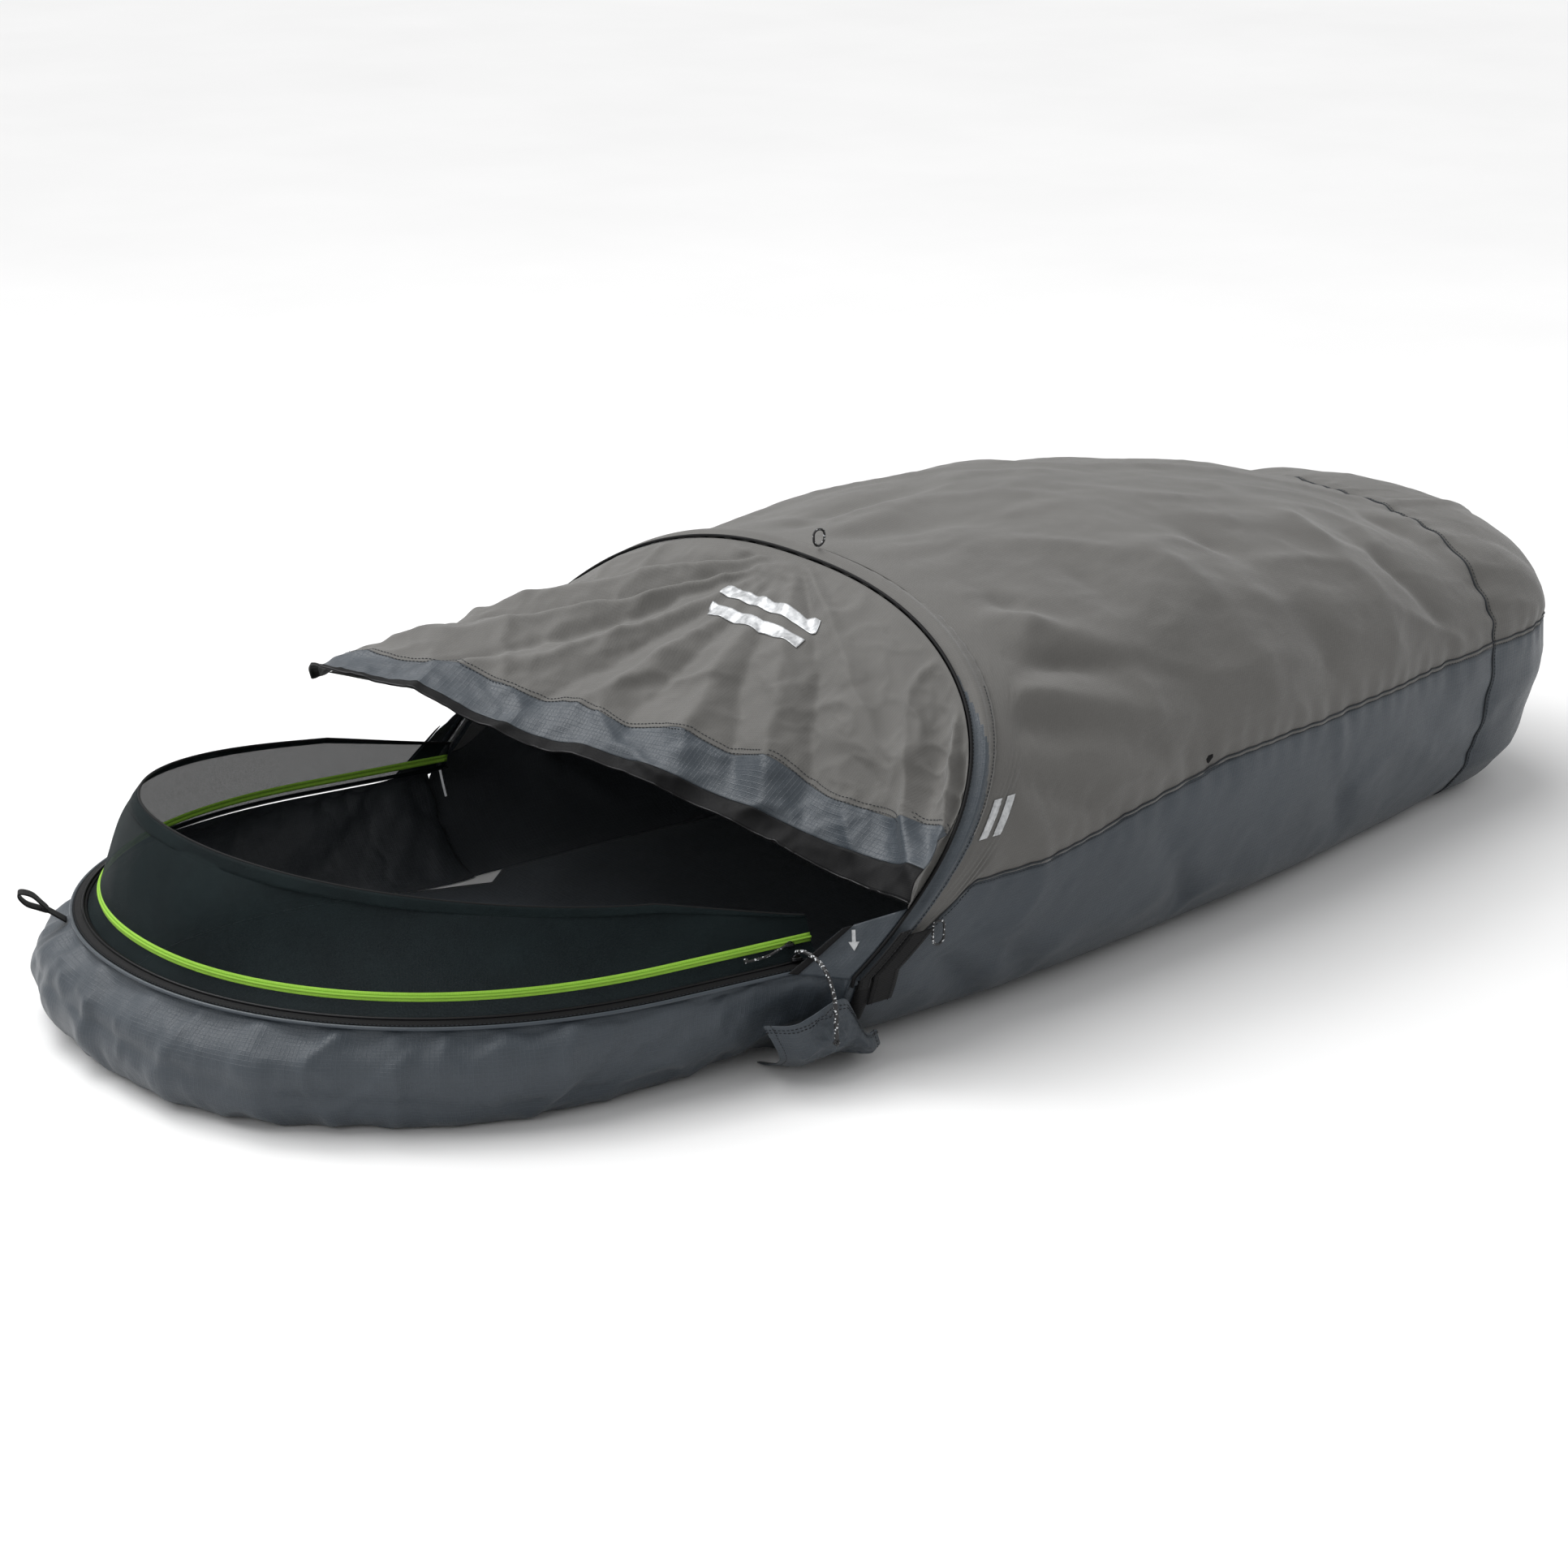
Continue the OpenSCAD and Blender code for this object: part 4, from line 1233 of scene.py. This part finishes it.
def build_hood_sides():
    """Grey cloth that closes the hood against the arch below each end of the hem."""
    for name, v_end, v0, v1 in (("near", 0.0, HOOD_V0, -0.03), ("far", 1.0, HOOD_V1, 1.02)):
        u = rows_of(40)
        edge, _ = lay_on(hood_tree, hood_point(0.90 * u[:, 0], v_end), -0.0008)
        seam = arch_point(mix(v0, v1, u[:, 0]), -0.004)
        across = line(14)[None, :, None]
        p = mix(edge[:, None], seam[:, None], across)
        outer_way = np.sign(v_end - 0.5)
        p[..., 1] += outer_way * -0.006 * arc(across[..., 0]) * arc(u)
        crumple = creases_of(p, 0.05, 13.0) * arc(across[..., 0])
        p = p + 0.0030 * crumple[..., None] * outer_way * (0, 1, 0)
        obj = cloth_grid(f"hood_side_{name}", p, SHELL_T, grey_cloth, 0.0)
        hood_piece(obj, grey_cloth)


build_hood_sides()
bpy.data.objects.remove(hood_whole)

# ---------- door zip ----------


def beaded(name, path, radius, pitch, material):
    """A zip coil: a cord whose thickness steps with each tooth."""
    points = resample(path, pitch / 2)
    r = radius * (1 + 0.22 * (-1.0) ** np.arange(len(points)))
    return tube(name, points, r, material, 6)


def build_door_zip():
    s = rows_of(300)
    profile = [(0.0050, 0.0012), (0.0020, 0.0040), (-0.0030, 0.0052), (-0.0100, 0.0056)]
    rails = [head_band(s[:, 0], off, ZIP_Z + up) for off, up in profile]
    tape = cloth_grid("door_zip_tape_cloth", np.stack(rails, 1), 0.0009, tape_cloth, 0.0)
    finish_piece(tape, "sack", tape_cloth, ["door_zip_tape"])
    coil = beaded("door_zip_teeth", head_band(line(900), -0.0060, ZIP_Z + 0.0068), 0.0016, 0.0022,
                  teeth_black)
    finish_piece(coil, "sack", teeth_black, ["door_zip_coil"])
    wall_row = head_band(line(700), 0.0042, ZIP_Z + 0.0030)
    finish_piece(stitches("door_zip_stitches", wall_row, (0, 0, 1), slate_thread), "sack", slate_thread)
    fold = head_band(line(500), 0.0068, ZIP_Z + 0.0006)
    finish_piece(tube("door_zip_fold", fold, 0.0022, slate_cloth, 8), "sack", slate_cloth)


build_door_zip()

# ---------- insect net ----------


def build_net():
    s = rows_of(220)
    strip = np.stack([head_band(s[:, 0], off, z, NET_END_X) for off, z in (
        (-0.0110, ZIP_Z + 0.0045), (-0.0150, NET_Z - 0.0150), (-0.0200, NET_Z - 0.0100),
        (-0.0230, NET_Z - 0.0046))], 1)
    lower = cloth_grid("net_lower_strip_mesh", strip, 0.0, net_cloth)
    finish_piece(lower, "sack", net_cloth, ["net_lower_strip"])
    tape_low = np.stack([head_band(s[:, 0], off, z, NET_END_X) for off, z in (
        (0.001 - NET_INSET, NET_Z - 0.0048), (0.0005 - NET_INSET, NET_Z - 0.0028),
        (-NET_INSET, NET_Z - 0.0007))], 1)
    piece = cloth_grid("net_tape_lower_cloth", tape_low, 0.0008, lime_tape, 0.0)
    finish_piece(piece, "sack", lime_tape, ["net_zip_tape_lower"])
    tape_high = np.stack([head_band(s[:, 0], off, z, NET_END_X) for off, z in (
        (-NET_INSET, NET_Z + 0.0007), (-0.0005 - NET_INSET, NET_Z + 0.0028),
        (-0.001 - NET_INSET, NET_Z + 0.0048))], 1)
    piece = cloth_grid("net_tape_upper_cloth", tape_high, 0.0008, lime_tape, 0.0)
    finish_piece(piece, "net", lime_tape, ["net_zip_tape_upper"])
    coil = beaded("net_zip_teeth", head_band(line(900), 0.0010 - NET_INSET, NET_Z, NET_END_X), 0.0015,
                  0.0020, lime_tape)
    finish_piece(coil, "net", lime_tape)
    f = line(26)
    p = net_point(s, f)
    inward = unit(stack(-(p[..., 0] + 0.55), -(p[..., 1] - 0.05), 0.0))
    sag = (0.006 * arc(f) * np.sin(2 * PI * 6 * s + 2 * np.sin(7 * s))
           + 0.004 * noise_of(p, 0.15, 4.0) * arc(f))
    p = p + inward * (sag * arc(s) ** 0.5)[..., None]
    net = cloth_grid("bug_net_mesh", p, 0.0, net_cloth)
    finish_piece(net, "net", net_cloth, ["bug_net_panel"])
    flat_size(net_point(s, f))
    hem_rows = np.linspace(0.88, 1.0, 5)[None, :]
    hem = net_point(s, hem_rows) - 0.0012 * unit(stack(-(p[:, :1, 0] + 0.55), -(p[:, :1, 1] - 0.05), 0.0))
    band = cloth_grid("net_hem_cloth", hem, 0.0012, net_cloth, 0.0)
    finish_piece(band, "net", net_cloth, ["net_hem"])
    edge = tube("net_hem_elastic", net_point(line(300), 1.0), 0.0016, tape_cloth, 8)
    finish_piece(edge, "net", tape_cloth)


build_net()

# ---------- sliders and pulls ----------

SLIDER_X = -0.386
TRACK_TURN = -math.atan(HEAD_SKEW)
TRACK_SHIFT = HEAD_SKEW * (MOUTH_X - SLIDER_X)


def slider_mesh(name, length, width, height, place, material):
    """Zip slider: a flared body with a raised crown and a bridge for the pull."""
    bm = bmesh.new()
    outline = []
    for k in range(40):
        a = 2 * PI * k / 40
        flare = 1 + 0.18 * math.cos(a)
        outline.append((length / 2 * sgn_pow(math.cos(a), 0.7),
                        width / 2 * flare * sgn_pow(math.sin(a), 0.7)))
    rings = []
    for z, shrink in ((0, 0.9), (0.1, 1.0), (0.25, 1.0), (0.30, 0.86), (0.38, 0.86), (0.42, 1.0),
                      (0.55, 0.98), (0.62, 0.82)):
        rings.append([bm.verts.new((x * shrink, y * shrink, z * height)) for x, y in outline])
    for low, high in zip(rings, rings[1:]):
        for k in range(40):
            bm.faces.new((low[k], low[(k + 1) % 40], high[(k + 1) % 40], high[k]))
    bm.faces.new(rings[-1])
    bm.faces.new(rings[0][::-1])
    t = line(14)
    bridge = stack((t - 0.5) * length * 0.6, 0 * t, height * (0.55 + 0.42 * np.sin(PI * t) ** 0.6))
    verts, faces = tube_parts(bridge, width * 0.13, 8)
    made = [bm.verts.new(v) for v in verts]
    for face in faces:
        bm.faces.new([made[i] for i in face])
    bm.transform(Matrix.Translation(place) @ Matrix.Rotation(TRACK_TURN, 4, "Z"))
    mesh = bpy.data.meshes.new(name)
    bm.to_mesh(mesh)
    bm.free()
    mesh.polygons.foreach_set("use_smooth", [True] * len(mesh.polygons))
    obj = linked(name, mesh)
    mesh.materials.append(material)
    return obj


def build_sliders():
    door_at = (SLIDER_X, -(HEAD_HALF_W - 0.006) + TRACK_SHIFT, ZIP_Z + 0.0083)
    door = slider_mesh("door_slider", 0.013, 0.0085, 0.006, door_at, slider_black)
    finish_piece(door, "door_slider", slider_black, ["door_zip_slider"])
    net_at = (SLIDER_X, -(HEAD_HALF_W - NET_INSET + 0.0055) + TRACK_SHIFT, NET_Z - 0.003)
    net = slider_mesh("net_slider", 0.011, 0.0066, 0.005, net_at, slider_black)
    finish_piece(net, "net_slider", slider_black, ["net_zip_slider"])


build_sliders()

DOOR_PULL = np.array([
    (-0.386, -0.379, 0.138), (-0.386, -0.392, 0.142), (-0.386, -0.406, 0.142), (-0.386, -0.422, 0.138),
    (-0.387, -0.436, 0.128), (-0.388, -0.446, 0.113), (-0.388, -0.451, 0.095), (-0.389, -0.453, 0.077),
    (-0.389, -0.454, 0.060)])
NET_PULL = np.array([
    (-0.394, -0.370, 0.144), (-0.402, -0.371, 0.143), (-0.412, -0.371, 0.140), (-0.423, -0.370, 0.138),
    (-0.434, -0.368, 0.137), (-0.444, -0.367, 0.137)])


def knot(name, centre, axis, size, cord, material):
    """Overhand knot: a trefoil of cord wound round the pull's end."""
    t = np.linspace(0, 2 * PI, 90)
    k = size / 3.0
    local = np.stack([k * (np.sin(t) + 2 * np.sin(2 * t)) * 0.5, k * (np.cos(t) - 2 * np.cos(2 * t)) * 0.5,
                      -k * np.sin(3 * t) * 0.9], 1)
    turn = Vector((0, 0, 1)).rotation_difference(Vector(axis)).to_matrix()
    points = np.array([tuple(turn @ Vector(p)) for p in local]) + centre
    return tube(name, points, cord / 2, material, 8)


def build_pulls():
    path = through(DOOR_PULL, line(40))
    pull = tube("door_pull_cord", path, 0.0024, flecked, 10)
    end = knot("door_pull_knot", DOOR_PULL[-1] + (0, 0, -0.002), (0, 0, 1), 0.006, 0.0026, flecked)
    finish_piece(pull, "door_pull", flecked, ["door_zip_pull"])
    finish_piece(end, "door_pull", flecked)
    path = through(NET_PULL, line(30))
    pull = tube("net_pull_cord", path, 0.0015, flecked, 10)
    end = knot("net_pull_knot", NET_PULL[-1] + (-0.001, 0, 0.001), (1, 0, 0), 0.0045, 0.0020, flecked)
    finish_piece(pull, "net_pull", flecked, ["net_zip_pull"])
    finish_piece(end, "net_pull", flecked)


build_pulls()

# ---------- gussets, storm flaps, straps, loops, prints ----------


def far_lean(side, x):
    return 2 * HEAD_SKEW * (MOUTH_X - x) if side > 0 else 0 * x


def gusset_point(side, u, t):
    """Gusset between the arch foot and the rear end of the door zip: u from the arch, t upwards."""
    rear = arch_point(mix(-0.27, -0.03, t), -0.004)
    front = mix(np.array((-0.406, -0.390, 0.121)), np.array((-0.345, -0.408, 0.165)), t[..., None])
    front = front - stack(0 * t, far_lean(side, front[..., 0]), 0 * t)
    p = mix(rear, front, u[..., None])
    return stack(p[..., 0], -side * p[..., 1], p[..., 2])


def build_gusset(side, label):
    u, t = np.broadcast_arrays(rows_of(26), line(22))
    p = gusset_point(side, u, t)
    n = grid_normals(p)
    n = n * np.sign(n[13, 11, 1] * side)
    crumple = 0.0030 * noise_of(p, 0.035, 7.0 + side) * arc(0.12 + 0.76 * u) * arc(0.1 + 0.8 * t)
    p = p + n * crumple[..., None]
    obj = cloth_grid(f"side_gusset_{label}_cloth", p, SHELL_T, slate_cloth, 0.0)
    finish_piece(obj, "sack", slate_cloth, [f"side_gusset_{label}"])
    edge = mix(rows_of(40) * 0 + 0.84, 1.0, line(4))
    around = np.broadcast_to(rows_of(40), edge.shape)
    strip = gusset_point(side, edge, around) + 0.0022 * n[13, 11]
    binding = cloth_grid(f"gusset_binding_{label}", strip, 0.0012, tape_cloth, 0.0)
    finish_piece(binding, "sack", tape_cloth)
    return p


def build_garage(side, label):
    """Storm flap over the rear end of the door zip, sewn on three sides."""
    i, j = np.broadcast_arrays(rows_of(70), line(44))
    up = ease(j / 0.55)
    top_z = 0.080 + 0.018 * np.exp(-((i - 0.58) / 0.30) ** 2) - 0.042 * ease((i - 0.60) / 0.25)
    x = mix(mix(-0.412, -0.296, i), mix(-0.457, -0.308, i), j)
    z = mix(0.0012, top_z, j)
    y = mix(0.362, 0.433, np.sin(PI / 2 * np.clip(j / 0.6, 0, 1)) ** 0.7) + 0.004 * arc(i) * up
    y = (y - 0.020 * np.exp(-(i / 0.10) ** 2) - 0.012 * np.exp(-((1 - i) / 0.10) ** 2)
         + far_lean(side, x) * (x < MOUTH_X))
    p = stack(x, side * y, z)
    crumple = 0.0060 * (creases_of(p, 0.045, 21.0 + side) - 0.35) + 0.0024 * creases_of(p, 0.018, 31.0)
    p[..., 1] += side * crumple * arc(0.06 + 0.88 * i) * ease((1 - j) / 0.2 + 0.3) * ease(j / 0.3)
    obj = cloth_grid(f"zip_garage_{label}_cloth", p, 0.0012, slate_cloth, 0.0)
    finish_piece(obj, "sack", slate_cloth, [f"zip_garage_{label}"])
    for name, rail in (("top", p[:, -4]), ("top_second", p[:, -6]), ("rear", p[-4, 6:]), ("head", p[3, 6:])):
        row = stitches(f"garage_{label}_{name}_stitches", rail + (0, side * 0.0008, 0), (0, side, 0), thread)
        finish_piece(row, "sack", thread)


def build_strips(side, label):
    """Narrow hook strip beside the piping, and the wide webbing tab that folds over it."""
    for name, v0, v1, ahead, width, out, body, material, slot in (
            (f"hook_strip_{label}", -0.30, -0.10, -0.001, 0.015, 0.0118, "sack", webbing, "black_tape"),
            (f"closure_tab_{label}", -0.40, -0.12, 0.019, 0.034, 0.0112, f"tab_{label}", webbing,
             "black_webbing")):
        v = np.linspace(v0, v1, 40)
        rails = []
        for k in range(7):
            q = arch_offset(v, ahead + width * k / 6, out + 0.0004 * math.sin(PI * k / 6))
            rails.append(stack(q[:, 0], -side * q[:, 1], q[:, 2]))
        p = np.stack(rails, 1)
        obj = cloth_grid(name + "_strap", p, 0.0016, material, 0.0)
        finish_piece(obj, body, material, [name])
        n = arch_out(v) * (1, -side, 1)
        for edge, k in (("a", 1), ("b", 5)):
            row = stitches(f"{name}_stitches_{edge}", p[:, k] + 0.0010 * n, n, thread, 0.0028, 0.0042, 0.0006)
            finish_piece(row, body, thread)


def loop_path(reach, r):
    """Rounded loop standing on its base point in the XZ plane."""
    a = np.linspace(-PI / 2, 1.5 * PI, 60)
    low = np.sin(a) < 0
    return stack(r * np.cos(a), 0.0, CORD_D / 2 + r + r * np.sin(a) + np.where(low, 0.0, reach))


def build_loop(name, base, reach, body, node):
    path = loop_path(reach, 0.008)
    path[:, 1] += 0.0006 * np.sin(np.linspace(0, 4 * PI, len(path)))
    cord = tube(name + "_cord", path + base, CORD_D / 2, flecked, 10)
    finish_piece(cord, body, flecked, [node])


for side, label in ((-1, "near"), (1, "far")):
    gusset = build_gusset(side, label)
    if side < 0:
        near_gusset = gusset
    build_garage(side, label)
    build_strips(side, label)
    guy = arch_offset(-0.20, 0.086, 0.013)
    build_loop(f"guy_loop_{label}", np.array((guy[0], -side * guy[1], guy[2])), 0.012, f"guy_{label}",
               f"guy_loop_{label}")
build_loop("guy_loop_top", arch_offset(0.5, POLE_AHEAD, POLE_OUT + 0.009), 0.004, "guy_top", "guy_loop_top")

STAKE_BASE = Vector((-0.962, 0.252, 0.128))


def build_stake_loop():
    """Black webbing folded into a loop and sewn to the head wall."""
    outline = []
    for k in range(48):
        a = -PI / 2 + 2 * PI * k / 48
        swell = mix(0.004, 0.008, ease((math.sin(a) + 1) / 2))
        outline.append((swell * 0.93 * math.cos(a), mix(0.0042, 0.0300, (math.sin(a) + 1) / 2)
                        + 0.007 * math.sin(a) ** 3 * 0.9))
    outline.append(outline[0])
    turn = (Matrix.Translation(STAKE_BASE) @ Matrix.Rotation(math.radians(-28), 4,
                                                             "Z") @ Matrix.Rotation(math.radians(-55), 4, "Y")
            @ Matrix.Rotation(PI / 2, 4, "X"))
    rails = []
    for k in range(7):
        w = -0.008 + 0.016 * k / 6
        rails.append([tuple(turn @ Vector((x, y, w))) for x, y in outline])
    p = np.array(rails).transpose(1, 0, 2)
    obj = cloth_grid("stake_loop_strap", p, 0.0014, webbing, 0.0)
    finish_piece(obj, "stake_loop", webbing, ["stake_loop_head"])
    inward = np.array(turn.to_3x3() @ Vector((0, -1, 0)))
    base = np.array([tuple(turn @ Vector((0, 0.0042, -0.008 + 0.016 * k / 6))) for k in range(7)])
    tab = base[:, None] + inward * (0.030 * line(10))[None, :, None]
    finish_piece(cloth_grid("stake_loop_tab", tab, 0.0016, webbing, 0.0), "sack", webbing)


build_stake_loop()


def build_prints():
    """Plain bars on the body and an arrow on the near gusset."""
    for number, lead in enumerate((0.046, 0.066)):
        i, v = np.broadcast_arrays(rows_of(12), mix(0.045, 0.09, line(40)))
        x = arch_at(top_yz(ARCH_HALF_W, ARCH_H, v, SEAM_HEAD_Z)[1]) + lead + 0.012 * i
        y, z = top_yz(body_half_w(x), body_h(x), v, seam_at(x))
        flat = stack(x, y, z)
        laid, _ = lay_on(body_tree, flat.reshape(-1, 3), 0.0010)
        bar = cloth_grid(f"body_bar_{number}", laid.reshape(flat.shape), PRINT_T, print_silver, 0.0)
        finish_piece(bar, "sack", print_silver, ["body_reflective_bars"])
    turn = (Matrix.Translation((-0.3386, -0.4195, 0.1555)) @ Matrix.Rotation(math.radians(-31.9), 4, "Z")
            @ Matrix.Rotation(math.radians(66.2), 4, "X"))
    outline = [(0, -14), (6, -4), (2, -4), (2, 9), (-2, 9), (-2, -4), (-6, -4)]
    out = np.array(turn.to_3x3() @ Vector((0, 0, 1)))
    gusset_tree = BVHTree.FromPolygons([Vector(q) for q in near_gusset.reshape(-1, 3)],
                                       [tuple(int(k) for k in f) for f in grid_faces(*near_gusset.shape[:2])])
    bm = bmesh.new()
    bm.faces.new([bm.verts.new((x / 1000, y / 1000, 0)) for x, y in outline])
    bmesh.ops.triangulate(bm, faces=bm.faces[:])
    bmesh.ops.subdivide_edges(bm, edges=bm.edges[:], cuts=4, use_grid_fill=True)
    for vert in bm.verts:
        spot = np.array(turn @ vert.co)
        hit = gusset_tree.ray_cast(Vector(spot + 0.02 * out), Vector(-out))[0]
        vert.co = Vector((np.array(hit) if hit is not None else spot) + 0.0013 * out)
    mesh = bpy.data.meshes.new("pole_arrow")
    bm.to_mesh(mesh)
    bm.free()
    arrow = linked("pole_arrow", mesh)
    mesh.materials.append(print_silver)
    thicken(arrow, PRINT_T, 0.0)
    finish_piece(arrow, "sack", print_silver, ["pole_arrow_print"])


build_prints()


def build_seam_tapes():
    """Sealing tape inside the seams, seen through the mouth."""
    for side, label in ((-1, "near"), (1, "far")):
        xs = np.linspace(-0.18, FOOT_X - 0.005, 80)
        rails = []
        for z in (-0.011, -0.004, 0.004, 0.011):
            rails.append(lay_on(body_tree, stack(xs, side * body_half_w(xs), seam_at(xs) + z), -0.0022)[0])
        obj = cloth_grid(f"seam_tape_{label}_cloth", np.stack(rails, 1), 0.0006, tape_cloth, 0.0)
        finish_piece(obj, "sack", tape_cloth, [f"seam_tape_{label}"])


build_seam_tapes()

# ---------- floor, light and colour ----------


def floor_material():
    mat, nodes, links, shader = node_material("studio_floor", 0.8, 0.2)
    place = nodes.new("ShaderNodeTexCoord").outputs["Object"]
    cloudy = noise_node(nodes, links, place, 1.5)
    colour_by(nodes, links, shader, cloudy, [(0.3, (0.80, 0.80, 0.80)), (0.7, (0.83, 0.83, 0.83))])
    return mat


def build_stage():
    bpy.ops.mesh.primitive_plane_add(size=40, location=(0, 0, -0.0005))
    floor = bpy.context.object
    floor.name = "studio_floor"
    floor.data.materials.append(floor_material())
    world = bpy.data.worlds.new("studio")
    bpy.context.scene.world = world
    world.use_nodes = True
    world.node_tree.nodes["Background"].inputs["Color"].default_value = (1, 1, 1, 1)
    world.node_tree.nodes["Background"].inputs["Strength"].default_value = 0.55
    sun = bpy.data.lights.new("sky_glow", "SUN")
    sun.energy = 2.1
    sun.angle = math.radians(60)
    glow = bpy.data.objects.new("sky_glow", sun)
    glow.rotation_euler = Vector((0.35, -0.45, -1.0)).to_track_quat("-Z", "Y").to_euler()
    bpy.context.scene.collection.objects.link(glow)
    lights = [  # name, place, target, size, power
        ("key", (-0.9, 1.6, 2.6), (0.0, 0, 0.2), 1.4, 34),
        ("front", (-3.4, -1.0, 1.6), (-0.4, 0, 0.2), 1.2, 12),
        ("rim", (2.8, -1.6, 2.0), (0.5, 0, 0.2), 1.4, 14)]
    for name, place, target, size, power in lights:
        data = bpy.data.lights.new(name, "AREA")
        data.size = size
        data.energy = power
        light = bpy.data.objects.new(name, data)
        light.location = place
        light.rotation_euler = (Vector(target) - Vector(place)).to_track_quat("-Z", "Y").to_euler()
        bpy.context.scene.collection.objects.link(light)


build_stage()
bpy.context.scene.view_settings.view_transform = "Standard"
